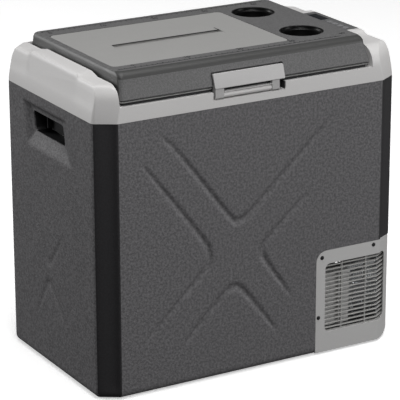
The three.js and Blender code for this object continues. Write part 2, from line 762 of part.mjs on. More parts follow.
function makeFanFrame() {
  const f = fan;
  const square = alongY(
    roundedOutline(f.x - f.half, f.z - f.half, f.x + f.half, f.z + f.half, 6), f.y0, f.y1, 3);
  const tunnel = rodAlongY(f.bore, f.y0 - 1, f.y1 + 1, f.x, f.z, 24);
  const hub = rodAlongY(f.hub, f.y1 - 4, f.y1, f.x, f.z, 16);
  const arms = box(f.x - f.half + 2, f.x + f.half - 2, f.y1 - 3, f.y1, f.z - 2.5, f.z + 2.5)
    .add(box(f.x - 2.5, f.x + 2.5, f.y1 - 3, f.y1, f.z - f.half + 2, f.z + f.half - 2));
  return square.subtract(tunnel).add(hub).add(arms);
}

function makeFanRotor() {
  const f = fan;
  const hub = rodAlongY(f.hub, f.y0 + 2, f.y1 - 5, f.x, f.z, 16);
  const blades = 7;
  const parts = [hub];
  const reach = f.bore - 3;
  for (let i = 0; i < blades; i += 1) {
    const blade = new THREE.BoxGeometry(22, 1.6, reach - f.hub + 4);
    blade.translate(0, 0, (reach + f.hub) / 2 - 2);
    blade.applyMatrix4(new THREE.Matrix4().makeRotationZ(0.62));
    blade.applyMatrix4(new THREE.Matrix4().makeRotationY((i * 2 * Math.PI) / blades));
    blade.translate(f.x, (f.y0 + f.y1 - 3) / 2, f.z);
    parts.push(toSolid(blade));
  }
  const keep = rodAlongY(reach, f.y0 + 2, f.y1 - 5, f.x, f.z, 24);
  return union(parts).intersect(keep);
}

place('fan_frame', makeFanFrame(), finishes.black);
place('fan_rotor', makeFanRotor(), finishes.black);

place('controller_box', box(142, 200, -168, -132, 46, 142), finishes.white);

const drierX = 264;
const drier = turned(
  [[0, 40], [2, 40], [2, 52], [9, 60], [9, 118], [2, 126], [2, 138], [0, 138]], drierX, 100, 12);
place('filter_drier', drier, finishes.copper);

const suction = pipe([
  [pump.x + 42, 60, 62], [252, 60, 66], [256, 60, 100], [254, 60, 200], [254, 60, 270], [246, 60, 292],
  [216.5, 60, 292],
], 3.5, 20, 3);
place('suction_pipe', suction, finishes.copper);

function makeInlet(x, z, halfWidth, halfHeight) {
  const lip = 2;
  const outer = back - gap;
  const flange = box(
    x - halfWidth + gap, x + halfWidth - gap, back - 24, outer, z - halfHeight + gap, z + halfHeight - gap);
  const hollow = box(
    x - halfWidth + lip + 1, x + halfWidth - lip - 1, back - 16, back + 5,
    z - halfHeight + lip + 1, z + halfHeight - lip - 1);
  return flange.subtract(hollow);
}

for (const [name, x, z, halfWidth, halfHeight] of inlets) {
  place(name, makeInlet(x, z, halfWidth, halfHeight), finishes.black);
}

// ---------------------------------------------------------------- control panel
const keyX = (panel.x0 + panel.x1) / 2;
const keyHalf = 5;
const keys = [
  ['button_power', -60],
  ['button_set', -44],
  ['button_up', -28],
  ['button_down', -12],
];
const display = { halfWidth: 11, y0: 6, y1: 50, depth: 1.5 };

function makePanel() {
  const p = panel;
  const base = raisedTop - p.thickness;
  let plate = box(p.x0, p.x1, p.y0, p.y1, base, raisedTop + gap);
  plate = plate.subtract(box(p.x0 + 3, p.x1 - 3, p.y0 + 3, p.y1 - 3, base - 1, raisedTop - 2.2));
  for (const [, y] of keys) {
    const half = keyHalf + gap;
    plate = plate.subtract(box(keyX - half, keyX + half, y - half, y + half, base - 1, raisedTop + 1));
  }
  return plate.subtract(box(
    keyX - display.halfWidth, keyX + display.halfWidth, display.y0, display.y1,
    raisedTop + gap - display.depth, raisedTop + 1));
}

place('control_panel', makePanel(), finishes.black);
place('display_lens', box(
  keyX - display.halfWidth + gap, keyX + display.halfWidth - gap, display.y0 + gap, display.y1 - gap,
  raisedTop + 2 * gap - display.depth, raisedTop + gap), finishes.lens);
place('control_board', box(panel.x0 + 7, panel.x1 - 7, panel.y0 + 7, panel.y1 - 7, 524, 525.6), finishes.board);
for (const [name, y] of keys) {
  const key = box(keyX - keyHalf, keyX + keyHalf, y - keyHalf, y + keyHalf, raisedTop - 6, raisedTop + 1.2);
  place(name, key, finishes.matGrey);
}

// ---------------------------------------------------------------- lid
function lidForm(inset, bottom, top) {
  const l = lid;
  const side = polygon([
    [l.y0 + inset, bottom], [l.y1 - inset, bottom], [l.y1 - inset, top - 7], [l.y1 - inset - 3, top - 2],
    [l.y1 - inset - 9, top], [-148 + inset, top], [-156 + inset, top - 1.5], [-161.5 + inset, top - 5.5],
    [-165 + inset, top - 11],
  ]);
  const end = polygon([
    [l.x0 + inset, bottom], [l.x1 - inset, bottom], [l.topX1 + 1 - inset, top - 6],
    [l.topX1 - 0.5 - inset, top - 2], [l.topX1 - 3 - inset, top], [l.topX0 + 3 + inset, top],
    [l.topX0 + 0.5 + inset, top - 2], [l.topX0 - 1 + inset, top - 6],
  ]);
  return alongX(side, 2 * left, 2 * right).intersect(alongY(end, 2 * front, 2 * back));
}

const lidHollowTop = lidTop - 9;
const lidNotch = { halfWidth: 68.5, y: -164.5, top: 531.5 };

function lidNotchSpace(grow) {
  return box(
    latch.x - lidNotch.halfWidth - grow, latch.x + lidNotch.halfWidth + grow, 2 * front, lidNotch.y + grow,
    490, lidNotch.top + grow);
}

function cupBore(x, y, radius, low) {
  return turned([[0, low], [radius, low], [radius, 600], [0, 600]], x, y, 20);
}

function makeLidCover() {
  const outside = lidForm(0, lidBottom, lidTop);
  let shellOfLid = outside.subtract(lidForm(wall, lidBottom - 1, lidHollowTop));
  shellOfLid = shellOfLid.add(lidNotchSpace(wall).intersect(outside)).subtract(lidNotchSpace(0));
  const m = lidMat;
  shellOfLid = shellOfLid.subtract(alongZ(
    roundedOutline(m.x0 - gap, m.y0 - gap, m.x1 + gap, m.y1 + gap, 10), lidTop - m.recess, 600));
  for (const [, x, y] of cups) shellOfLid = shellOfLid.subtract(cupBore(x, y, cupRadius + gap, 500));
  return shellOfLid;
}

place('lid_cover', makeLidCover(), finishes.lidGrey);

function makeMat() {
  const m = lidMat;
  const bottom = lidTop - m.recess + gap;
  const slab = alongZ(roundedOutline(m.x0, m.y0, m.x1, m.y1, 10), bottom, lidTop - 0.2);
  const slot = alongX(polygon([[-2.5, lidTop - 3.5], [-2.5, lidTop + 1], [-33, lidTop + 1], [-28, lidTop - 0.2]]),
    -170, 37);
  return slab.subtract(slot);
}

place('lid_mat', makeMat(), finishes.matGrey);

for (const [name, x, y] of cups) {
  const floor = lidTop - cupDepth;
  const r = cupRadius;
  const profile = [
    [0, floor - 2], [r - 4.5, floor - 2], [r - 2.5, floor], [r - 2.5, lidTop - 7], [r, lidTop - 5],
    [r, lidTop - 0.6], [r - 2, lidTop - 0.6], [r - 2, lidTop - 4], [r - 5, lidTop - 6], [r - 5, floor],
    [0, floor],
  ];
  place(name, turned(profile, x, y, 20), finishes.black);
}

function makeLidFoam() {
  let foam = lidForm(wall + gap, lidBottom - 0.8, lidHollowTop - gap).subtract(lidNotchSpace(wall + gap));
  for (const [, x, y] of cups) foam = foam.subtract(cupBore(x, y, cupRadius + 2 * gap, 500));
  return foam;
}

place('lid_foam', makeLidFoam(), finishes.foam);

const panFlange = { low: 504.8, high: 506.8 };
const plug = { clearance: 5, depth: 10 };

function plugOutline(inset) {
  const c = cavity;
  const m = plug.clearance + inset;
  return roundedOutline(c.x0 + m, c.y0 + m, c.x1 - m, c.y1 - m, c.radius - m + 2);
}

function makeLidPan() {
  const flange = alongZ(
    roundedOutline(lid.x0 + 2, lid.y0 + 2, lid.x1 - 2, lid.y1 - 2, 6), panFlange.low, panFlange.high, 2);
  const low = shelfTop - plug.depth;
  const tubOuter = alongZ(plugOutline(0), low, panFlange.low + 1);
  const tubInner = alongZ(plugOutline(2), low + 2, 600);
  return flange.add(tubOuter).subtract(tubInner).subtract(lidNotchSpace(0));
}

place('lid_inner_pan', makeLidPan(), finishes.white);

function makeGasket() {
  const outer = roundedOutline(lid.x0 + 4, lid.y0 + 4, lid.x1 - 4, lid.y1 - 4, 8);
  const inner = roundedOutline(-231.5, -154, 214.5, 130, 12);
  const ring = alongZ(outer, shelfTop + gap, panFlange.low - gap, 2)
    .subtract(alongZ(inner, 400, 600, 2));
  return ring.subtract(lidNotchSpace(0.5));
}

place('lid_gasket', makeGasket(), finishes.rubber);

// ---------------------------------------------------------------- hinges
function lug(x0, x1) {
  const h = hinge;
  const body = alongX(polygon([
    [h.y - 7, 500.6], [h.y + 7, 500.6], [h.y + 7, 504], [h.y + h.radius - 0.5, h.z], [h.y - h.radius + 0.5, h.z],
    [h.y - 7, 504],
  ]), x0, x1);
  return body.add(rodAlongX(h.radius, x0, x1, h.y, h.z, 16));
}

function hingeBore() {
  return rodAlongX(hinge.pinRadius + gap, -hinge.halfWidth - 9, hinge.halfWidth + 9, hinge.y, hinge.z, 16);
}

function makeHingeBracket() {
  const h = hinge;
  const base = box(-h.halfWidth, h.halfWidth, h.y - 7.5, h.y + 10, shelfTop + gap, shelfTop + 2.5);
  return base.add(lug(-h.halfWidth, -h.knuckle - 0.5)).add(lug(h.knuckle + 0.5, h.halfWidth))
    .subtract(hingeBore());
}

function makeHingeLeaf() {
  const h = hinge;
  const plateBack = lid.y1 + gap + 2.2;
  const plate = box(-h.halfWidth, h.halfWidth, lid.y1 + gap, plateBack, 511, 543);
  const arm = box(-h.knuckle, h.knuckle, plateBack - 1, h.y - 3, h.z - 4, h.z + 4);
  const barrel = rodAlongX(h.radius, -h.knuckle, h.knuckle, h.y, h.z, 16);
  return plate.add(arm).add(barrel).subtract(hingeBore());
}

for (const [side, x] of hingeSpots) {
  const pin = rodAlongX(hinge.pinRadius, -hinge.halfWidth, hinge.halfWidth, hinge.y, hinge.z, 12);
  place(`hinge_bracket_${side}`, makeHingeBracket().translate([x, 0, 0]), finishes.steel);
  place(`hinge_leaf_${side}`, makeHingeLeaf().translate([x, 0, 0]), finishes.steel);
  place(`hinge_pin_${side}`, pin.translate([x, 0, 0]), finishes.steel);
}

// ---------------------------------------------------------------- latch
function makeLatch() {
  const p = latch;
  const plateLow = 505.5;
  const plateHigh = 529.5;
  const plate = alongX(polygon([
    [-177, plateLow], [-169.3, plateHigh], [-173.3, plateHigh], [-181, plateLow],
  ]), p.x - p.halfWidth, p.x + p.halfWidth);
  const legRadius = 5.6;
  const legProfile = polygon([
    [p.y - legRadius, p.z], [p.y + legRadius, p.z], [p.y + 2.5, p.z + 8], [-172, 511], [-178.5, 511],
  ]);
  const legs = latchLegs.map(([x0, x1]) => (
    alongX(legProfile, x0, x1).add(rodAlongX(legRadius, x0, x1, p.y, p.z))));
  const bore = rodAlongX(p.pinRadius + gap, p.x - 70, p.x + 70, p.y, p.z, 12);
  return union([plate, ...legs]).subtract(bore);
}

place('latch_handle', makeLatch(), finishes.lightGrey);
const latchPin = rodAlongX(
  latch.pinRadius, latchLegs[0][0] - 1, latchLegs[1][1] + 1, latch.y, latch.z, 10);
place('latch_pin', latchPin, finishes.steel);

export default fridge;
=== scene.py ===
import math

import bmesh
import bpy
import numpy as np
from mathutils import Matrix, Vector


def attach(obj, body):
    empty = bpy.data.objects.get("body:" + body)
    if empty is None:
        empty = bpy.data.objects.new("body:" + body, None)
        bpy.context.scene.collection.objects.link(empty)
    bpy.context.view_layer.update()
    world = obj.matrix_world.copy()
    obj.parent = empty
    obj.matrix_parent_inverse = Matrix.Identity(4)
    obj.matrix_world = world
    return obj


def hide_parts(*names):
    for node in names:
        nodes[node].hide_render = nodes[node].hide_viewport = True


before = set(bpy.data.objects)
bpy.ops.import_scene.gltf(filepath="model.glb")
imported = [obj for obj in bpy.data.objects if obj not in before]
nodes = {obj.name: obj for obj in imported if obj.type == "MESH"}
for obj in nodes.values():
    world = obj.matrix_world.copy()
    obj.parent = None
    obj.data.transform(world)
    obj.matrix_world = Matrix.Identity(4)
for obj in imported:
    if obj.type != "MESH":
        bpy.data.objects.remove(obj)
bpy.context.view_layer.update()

MM = 0.001
scene = bpy.context.scene

# ------------------------------------------------------------------ driving sizes, mm
WIDTH, DEPTH = 578.0, 358.0
RIGHT, BACK = WIDTH / 2, DEPTH / 2
FRONT_FACET, BACK_FACET = (35.0, 22.0), (35.0, 33.0)
SIDE_SOFT, FACE_SOFT = 10.0, 5.0
WALL, GAP = 3.0, 0.3
SHELL_BOTTOM, SHELL_TOP, BOTTOM_ROUND = 2.0, 473.85, 12.0
COLLAR_BOTTOM, SHELF_TOP, LEDGE_TOP, RAISE = 474.15, 500.0, 533.6, 5.4
GRIP_Y, GRIP_Z, DISH = (-43.0, 66.0), (406.0, 440.0), 9.0
BAY_X, BAY_TOP, BAY_CORNER = 125.0, 189.0, 20.0
LID = dict(x0=-247.0, x1=230.0, y0=-176.0, y1=148.0, bottom=508.0, top=552.0)
MAT = dict(x0=-232.0, x1=101.0, y0=-125.0, y1=105.0)
CUPS = (("cup_front", 152.0, -81.0, "cup_liner_front"), ("cup_rear", 150.0, 72.0, "cup_liner_rear"))
CUP_RADIUS, CUP_DEPTH = 37.5, 28.0
LEGS, BARREL = ((-74.0, -58.0), (34.0, 48.0)), (-57.5, 33.5)
LATCH_X, LATCH_Y, LATCH_Z = -9.0, -173.5, 493.0
CAVITY = dict(x0=-228.0, x1=211.0, y0=-139.0, y1=125.0, r=25.0)
LID_SHOULDER = 11.0


# ------------------------------------------------------------------ mesh helpers
def put(name, points, faces):
    """A new mesh object from points in millimetres."""
    mesh = bpy.data.meshes.new(name)
    mesh.from_pydata((np.array(points, float) * MM).tolist(), [], [list(f) for f in faces])
    form = bmesh.new()
    form.from_mesh(mesh)
    bmesh.ops.recalc_face_normals(form, faces=form.faces)
    form.to_mesh(mesh)
    form.free()
    obj = bpy.data.objects.new(name, mesh)
    scene.collection.objects.link(obj)
    return obj


def loft(name, rings):
    """Skin over closed outlines of equal length, capped at both ends."""
    n = len(rings[0])
    points = [p for outline in rings for p in outline]
    faces = []
    for low in range(0, len(points) - n, n):
        high = low + n
        faces += [(low + i, low + (i + 1) % n, high + (i + 1) % n, high + i) for i in range(n)]
    faces += [tuple(range(n))[::-1], tuple(range(len(points) - n, len(points)))]
    return put(name, points, faces)


def placed(axis, u, v, w):
    """The point at u, v across an axis and w along it."""
    return {"x": (w, u, v), "y": (u, w, v), "z": (u, v, w)}[axis]


def prism(name, outline, axis, low, high):
    """An outline pushed along an axis."""
    return loft(name, [[placed(axis, u, v, w) for u, v in outline] for w in (low, high)])


def block(x0, x1, y0, y1, z0, z1):
    return prism("tool", [(x0, y0), (x1, y0), (x1, y1), (x0, y1)], "z", z0, z1)


def fillet(points, radius, steps=5):
    """Points of a closed outline with each corner rounded."""
    out = []
    for i, p in enumerate(points):
        r = radius[i] if hasattr(radius, "__len__") else radius
        a, b, c = Vector(points[i - 1]), Vector(p), Vector(points[(i + 1) % len(points)])
        before, after = a - b, c - b
        angle = before.angle(after)
        if r <= 0 or angle > math.pi - 1e-3:
            out.append(tuple(b))
            continue
        cut = min(r / math.tan(angle / 2), 0.499 * before.length, 0.499 * after.length)
        r = cut * math.tan(angle / 2)
        centre = b + (before.normalized() + after.normalized()).normalized() * (r / math.sin(angle / 2))
        start, end = b + before.normalized() * cut - centre, b + after.normalized() * cut - centre
        turn = math.pi - angle
        for k in range(steps + 1):
            t = k / steps
            mix = (start * math.sin((1 - t) * turn) + end * math.sin(t * turn)) / math.sin(turn)
            out.append(tuple(centre + mix))
    return out


def rect(u0, v0, u1, v1, r=0.0, steps=6):
    return fillet([(u0, v0), (u1, v0), (u1, v1), (u0, v1)], r, steps)


def circle(u, v, r, sides=32):
    return [(u + r * math.cos(2 * math.pi * k / sides), v + r * math.sin(2 * math.pi * k / sides))
            for k in range(sides)]


def rod(axis, u, v, r, low, high, sides=32):
    return prism("tool", circle(u, v, r, sides), axis, low, high)


def lathe(name, profile, axis, u, v, sides=48):
    """A turned solid from (radius, distance along the axis) pairs."""
    return loft(name, [[placed(axis, a, b, w) for a, b in circle(u, v, r, sides)] for r, w in profile])


def bake(obj):
    """Applies the modifiers of obj."""
    graph = bpy.context.evaluated_depsgraph_get()
    mesh = bpy.data.meshes.new_from_object(obj.evaluated_get(graph), depsgraph=graph)
    obj.modifiers.clear()
    obj.data = mesh
    return obj


def combine(obj, tools, operation):
    for tool in tools:
        step = obj.modifiers.new("step", "BOOLEAN")
        step.object = tool
        step.operation = operation
        step.solver = "EXACT"
    bpy.context.view_layer.update()
    bake(obj)
    for tool in tools:
        bpy.data.objects.remove(tool)
    return obj


def cut(obj, *tools):
    return combine(obj, tools, "DIFFERENCE")


def weld(obj, *tools):
    return combine(obj, tools, "UNION")


def keep(obj, *tools):
    return combine(obj, tools, "INTERSECT")


def join(name, parts):
    """One object from several, without changing their surfaces."""
    form = bmesh.new()
    for part in parts:
        form.from_mesh(part.data)
        bpy.data.objects.remove(part)
    mesh = bpy.data.meshes.new(name)
    form.to_mesh(mesh)
    form.free()
    obj = bpy.data.objects.new(name, mesh)
    scene.collection.objects.link(obj)
    return obj


def soften(obj, width, angle=32, segments=2):
    """Rounds the sharp edges, and shades the rest smooth."""
    for face in obj.data.polygons:
        face.use_smooth = True
    tidy = obj.modifiers.new("clean", "WELD")
    tidy.merge_threshold = 1e-6
    flat = obj.modifiers.new("flat", "DECIMATE")
    flat.decimate_type = "DISSOLVE"
    flat.angle_limit = math.radians(0.2)
    if width > 0:
        edge = obj.modifiers.new("edges", "BEVEL")
        edge.width = width * MM
        edge.segments = segments
        edge.limit_method = "ANGLE"
        edge.angle_limit = math.radians(angle)
        edge.harden_normals = True
        edge.miter_outer = "MITER_ARC"
    return obj


def crease(obj, angle=32):
    """Smooth shading with sharp edges kept above an angle."""
    form = bmesh.new()
    form.from_mesh(obj.data)
    for face in form.faces:
        face.smooth = True
    for edge in form.edges:
        edge.smooth = edge.is_manifold and edge.calc_face_angle(0) < math.radians(angle)
    form.to_mesh(obj.data)
    form.free()
    return obj


def finish_piece(obj, name, body, slot, material, *stands_for):
    obj.name = name
    obj.data.materials.clear()
    obj.data.materials.append(material)
    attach(obj, body)
    if stands_for:
        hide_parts(*stands_for)
    return obj


def dress(node, material, width=0.5, angle=32, segments=2):
    """A CAD node that stays: a finish, smooth shading and softened edges."""
    obj = nodes[node]
    obj.data.materials.clear()
    obj.data.materials.append(material)
    for face in obj.data.polygons:
        face.material_index = 0
    return soften(obj, width, angle, segments)


# ------------------------------------------------------------------ materials
class Graph:
    """A small builder for one material's nodes."""

    def __init__(self, name):
        self.material = bpy.data.materials.new(name)
        self.material.use_nodes = True
        self.tree = self.material.node_tree
        self.shader = self.tree.nodes["Principled BSDF"]
        self.where = self.tree.nodes.new("ShaderNodeTexCoord").outputs["Object"]

    def link(self, a, b):
        self.tree.links.new(a, b)

    def noise(self, scale, detail=2.0, stretch=None):
        n = self.tree.nodes.new("ShaderNodeTexNoise")
        n.inputs["Scale"].default_value = scale
        n.inputs["Detail"].default_value = detail
        self.link(self.stretched(stretch), n.inputs["Vector"])
        return n.outputs["Fac"]

    def cells(self, scale):
        n = self.tree.nodes.new("ShaderNodeTexVoronoi")
        n.inputs["Scale"].default_value = scale
        self.link(self.where, n.inputs["Vector"])
        return n.outputs["Distance"]

    def stretched(self, factors):
        if factors is None:
            return self.where
        m = self.tree.nodes.new("ShaderNodeMapping")
        m.inputs["Scale"].default_value = factors
        self.link(self.where, m.inputs["Vector"])
        return m.outputs["Vector"]

    def span(self, value, low, high, out_low=0.0, out_high=1.0):
        n = self.tree.nodes.new("ShaderNodeMapRange")
        for key, x in zip(("From Min", "From Max", "To Min", "To Max"), (low, high, out_low, out_high)):
            n.inputs[key].default_value = x
        self.link(value, n.inputs["Value"])
        return n.outputs["Result"]

    def math(self, kind, a, b):
        n = self.tree.nodes.new("ShaderNodeMath")
        n.operation = kind
        for socket, x in zip(n.inputs, (a, b)):
            if isinstance(x, (int, float)):
                socket.default_value = x
            else:
                self.link(x, socket)
        return n.outputs[0]

    def blend(self, factor, a, b):
        n = self.tree.nodes.new("ShaderNodeMix")
        n.data_type = "RGBA"
        self.link(factor, n.inputs[0])
        color_a, color_b, color_out = 6, 7, 2
        for index, x in ((color_a, a), (color_b, b)):
            if isinstance(x, tuple):
                n.inputs[index].default_value = (*x, 1.0)
            else:
                self.link(x, n.inputs[index])
        return n.outputs[color_out]

    def bump(self, height, depth):
        n = self.tree.nodes.new("ShaderNodeBump")
        n.inputs["Distance"].default_value = depth
        self.link(height, n.inputs["Height"])
        self.link(n.outputs["Normal"], self.shader.inputs["Normal"])

    def set(self, **values):
        for key, x in values.items():
            socket = self.shader.inputs[key.replace("_", " ").title().replace("Ior", "IOR")]
            socket.default_value = x


def shade(color, factor):
    return tuple(min(1.0, c * factor) for c in color)


def plastic(name, color, rough, grain, depth, mottle, speckle, gloss):
    """Moulded plastic: a pebble grain in relief, faint mottling and uneven gloss."""
    wear = 0.03
    g = Graph(name)
    cloud = g.noise(9.0, 3.0)
    pebble = g.cells(grain)
    fine = g.noise(grain * 1.7, 2.0)
    tint = g.blend(g.span(cloud, 0.3, 0.7), shade(color, 1 - mottle), shade(color, 1 + mottle))
    if speckle:
        dots = g.span(g.noise(grain * 0.8, 1.5), 0.36, 0.64)
        dark = g.blend(dots, shade(color, 1 - speckle), shade(color, 1 + speckle))
        tint = g.blend(g.span(cloud, 0.0, 1.0, 0.65, 0.9), tint, dark)
    g.link(tint, g.shader.inputs["Base Color"])
    g.link(g.span(g.noise(30.0, 4.0), 0.3, 0.7, rough - wear, rough + wear), g.shader.inputs["Roughness"])
    relief = g.math("ADD", g.math("MULTIPLY", pebble, 0.7), g.math("MULTIPLY", fine, 0.5))
    g.bump(relief, depth)
    g.set(specular_ior_level=gloss)
    return g.material


def metal(name, color, rough=0.3, brushed=None, depth=0.00002, stain=0.08):
    """Bare or plated metal with fine brushing and faint stains."""
    g = Graph(name)
    lines = g.noise(60.0, 3.0, brushed or (1.0, 1.0, 12.0))
    cloud = g.noise(14.0, 4.0)
    tint = g.blend(g.span(cloud, 0.35, 0.7), shade(color, 1 - stain), shade(color, 1 + stain / 2))
    g.link(tint, g.shader.inputs["Base Color"])
    g.link(g.span(lines, 0.3, 0.7, rough * 0.8, rough * 1.25), g.shader.inputs["Roughness"])
    g.bump(lines, depth)
    g.set(metallic=1.0)
    return g.material


def foam_look(name, color):
    """Rigid foam: open cells and an uneven tint."""
    g = Graph(name)
    bubbles = g.cells(450.0)
    cloud = g.noise(20.0, 4.0)
    tint = g.blend(g.span(cloud, 0.3, 0.7), shade(color, 0.85), shade(color, 1.1))
    g.link(tint, g.shader.inputs["Base Color"])
    g.link(g.span(cloud, 0.3, 0.7, 0.85, 0.98), g.shader.inputs["Roughness"])
    g.bump(bubbles, 0.0006)
    return g.material


def lens_look(name, color):
    """A smooth window or lamp lens with faint smears."""
    g = Graph(name)
    smear = g.noise(24.0, 4.0, (1.0, 0.3, 1.0))
    tint = g.blend(g.span(smear, 0.3, 0.7), shade(color, 0.9), shade(color, 1.1))
    g.link(tint, g.shader.inputs["Base Color"])
    g.link(g.span(smear, 0.3, 0.7, 0.05, 0.14), g.shader.inputs["Roughness"])
    g.bump(smear, 0.00001)
    return g.material


SHELL = plastic("shell_charcoal", (0.135, 0.132, 0.137), 0.6, 300.0, 0.0004, 0.04, 0.3, 0.25)
# Painted shade: a near-black, smoother copy of the charcoal plastic for the corner facets, so that they read
# dark as shade makes them.
SHELL_CORNER_SHADE = plastic("shell_smooth_corner_painted_shade", (0.034, 0.033, 0.035), 0.5, 500.0, 0.00008, 0.08, 0.12, 0.3)
RIM = plastic("rim_light_grey", (0.64, 0.63, 0.625), 0.42, 900.0, 0.00004, 0.02, 0.03, 0.4)
LID_GRAIN = plastic("lid_grained", (0.12, 0.119, 0.12), 0.6, 520.0, 0.0003, 0.04, 0.2, 0.4)
# Smooth plastic of the lid's front band, also used as painted shade on the lid's end faces.
LID_BAND_AND_SHADE = plastic("lid_smooth_band_and_painted_shade", (0.055, 0.055, 0.054), 0.45, 900.0, 0.00004, 0.05, 0.05, 0.4)
MAT_LOOK = plastic("mat_grey", (0.33, 0.327, 0.32), 0.5, 900.0, 0.00005, 0.03, 0.04, 0.4)
BLACK = plastic("black_plastic", (0.014, 0.014, 0.015), 0.5, 700.0, 0.0001, 0.1, 0.1, 0.4)
PANEL = plastic("panel_grey", (0.12, 0.12, 0.122), 0.5, 900.0, 0.00003, 0.05, 0.0, 0.4)
CUP_BLACK = plastic("cup_black", (0.004, 0.004, 0.004), 0.35, 900.0, 0.00003, 0.1, 0.0, 0.15)
GREY_FOAM = foam_look("grey_foam", (0.07, 0.07, 0.07))
RUBBER = plastic("black_rubber", (0.02, 0.02, 0.021), 0.8, 600.0, 0.00012, 0.12, 0.1, 0.3)
WHITE = plastic("white_liner", (0.78, 0.79, 0.775), 0.3, 900.0, 0.00003, 0.02, 0.0, 0.5)
PAN = plastic("pan_grey", (0.26, 0.26, 0.255), 0.4, 900.0, 0.00003, 0.03, 0.02, 0.4)
LATCH_LOOK = plastic("latch_light_grey", (0.47, 0.463, 0.462), 0.4, 900.0, 0.00004, 0.02, 0.03, 0.45)
VENT_LOOK = plastic("vent_light_grey", (0.55, 0.545, 0.54), 0.42, 900.0, 0.00005, 0.03, 0.03, 0.4)
SLAT_LOOK = plastic("slat_light_grey", (0.4, 0.395, 0.385), 0.42, 900.0, 0.00003, 0.03, 0.02, 0.4)
FOAM = foam_look("cream_foam", (0.68, 0.6, 0.38))
STEEL = metal("zinc_steel", (0.55, 0.56, 0.57), 0.38)
BRIGHT = metal("bright_pipe", (0.75, 0.76, 0.78), 0.16)
ALUMINIUM = metal("mill_aluminium", (0.72, 0.73, 0.74), 0.32, (1.0, 12.0, 1.0))
COPPER = metal("drawn_copper", (0.72, 0.38, 0.24), 0.3)
ENAMEL = plastic("black_enamel", (0.02, 0.02, 0.022), 0.28, 500.0, 0.00006, 0.1, 0.0, 0.6)
WIRE = plastic("white_coated_wire", (0.74, 0.75, 0.74), 0.35, 800.0, 0.00003, 0.03, 0.0, 0.5)
CASE = plastic("controller_grey", (0.5, 0.5, 0.49), 0.5, 700.0, 0.00006, 0.04, 0.03, 0.4)
BOARD = plastic("circuit_green", (0.03, 0.13, 0.07), 0.5, 700.0, 0.00005, 0.1, 0.1, 0.4)
KEYS = plastic("key_grey", (0.2, 0.2, 0.205), 0.6, 800.0, 0.00006, 0.05, 0.05, 0.3)
# Ruler print, also used for the painted shadow line in the lid panel's groove.
RULER_INK_AND_SHADOW = plastic("ruler_ink_and_painted_shadow", (0.012, 0.012, 0.012), 0.6, 900.0, 0.00002, 0.1, 0.0, 0.3)
LENS = lens_look("display_lens", (0.012, 0.014, 0.018))
LAMP = lens_look("lamp_lens", (0.85, 0.87, 0.88))


# ------------------------------------------------------------------ stage
def make_stage():
    reach = 30.0
    mesh = bpy.data.meshes.new("floor")
    mesh.from_pydata([(-reach, -reach, 0), (reach, -reach, 0), (reach, reach, 0), (-reach, reach, 0)],
                     [], [(0, 1, 2, 3)])
    floor = bpy.data.objects.new("floor", mesh)
    scene.collection.objects.link(floor)
    mesh.materials.append(plastic("pale_floor", (0.9, 0.9, 0.9), 0.8, 60.0, 0.0, 0.005, 0.0, 0.2))
    pale = mesh.materials[0].node_tree.nodes["Principled BSDF"]
    pale.inputs["Emission Color"].default_value = (1.0, 1.0, 1.0, 1.0)
    pale.inputs["Emission Strength"].default_value = 0.45
    floor.visible_diffuse = False
    floor.visible_glossy = False

    world = bpy.data.worlds.new("studio")
    scene.world = world
    world.use_nodes = True
    world.node_tree.nodes["Background"].inputs["Color"].default_value = (1.0, 1.0, 1.0, 1.0)
    world.node_tree.nodes["Background"].inputs["Strength"].default_value = 0.05
    scene.view_settings.view_transform = "Standard"


def softbox(name, azimuth, elevation, distance, size, power):
    """An area light that faces the object; azimuth 0 is in front, and grows to the right."""
    light = bpy.data.lights.new(name, "AREA")
    light.shape = "RECTANGLE"
    light.size, light.size_y = size
    light.energy = power
    obj = bpy.data.objects.new(name, light)
    a, e = math.radians(azimuth), math.radians(elevation)
    target = Vector((0, 0, 0.28))
    way = Vector((math.sin(a) * math.cos(e), -math.cos(a) * math.cos(e), math.sin(e)))
    obj.location = target + way * distance
    obj.rotation_euler = way.to_track_quat("Z", "Y").to_euler()
    scene.collection.objects.link(obj)
    return obj


def make_camera():
    """The view of the reference: azimuth 30.15 degrees to the left of the front, 18.62 down."""
    data = bpy.data.cameras.new("camera")
    data.sensor_width = 36.0
    data.lens = 203.48
    data.clip_end = 60.0
    camera = bpy.data.objects.new("camera", data)
    a, e, roll = math.radians(30.152), math.radians(18.621), math.radians(-0.161)
    ahead = Vector((math.sin(a) * math.cos(e), math.cos(a) * math.cos(e), -math.sin(e)))
    turn = ahead.to_track_quat("-Z", "Y").to_matrix()
    turn = turn @ Matrix.Rotation(roll, 3, "Z")
    camera.matrix_world = Matrix.Translation((-1.8590, -3.2006, 1.4999)) @ turn.to_4x4()
    scene.collection.objects.link(camera)
    scene.camera = camera


make_stage()
make_camera()
softbox("key", 48.0, 7.0, 5.0, (1.6, 1.6), 92.0)
softbox("front_left", -24.0, 40.0, 2.8, (1.0, 1.0), 27.0)
softbox("side", -138.0, 15.0, 5.0, (2.0, 2.2), 128.0)
softbox("overhead", 30.0, 84.0, 4.5, (2.6, 2.6), 127.0)


# ------------------------------------------------------------------ cabinet shell
def smoothstep(x, low=0.0, high=1.0):
    t = np.clip((x - low) / (high - low), 0.0, 1.0)
    return t * t * (3 - 2 * t)


def spaced(keys, pitch):
    """Values through every key, no further apart than pitch."""
    out = [keys[0]]
    for a, b in zip(keys, keys[1:]):
        n = max(1, math.ceil(abs(b - a) / pitch))
        out += [a + (b - a) * (k + 1) / n for k in range(n)]
    return out


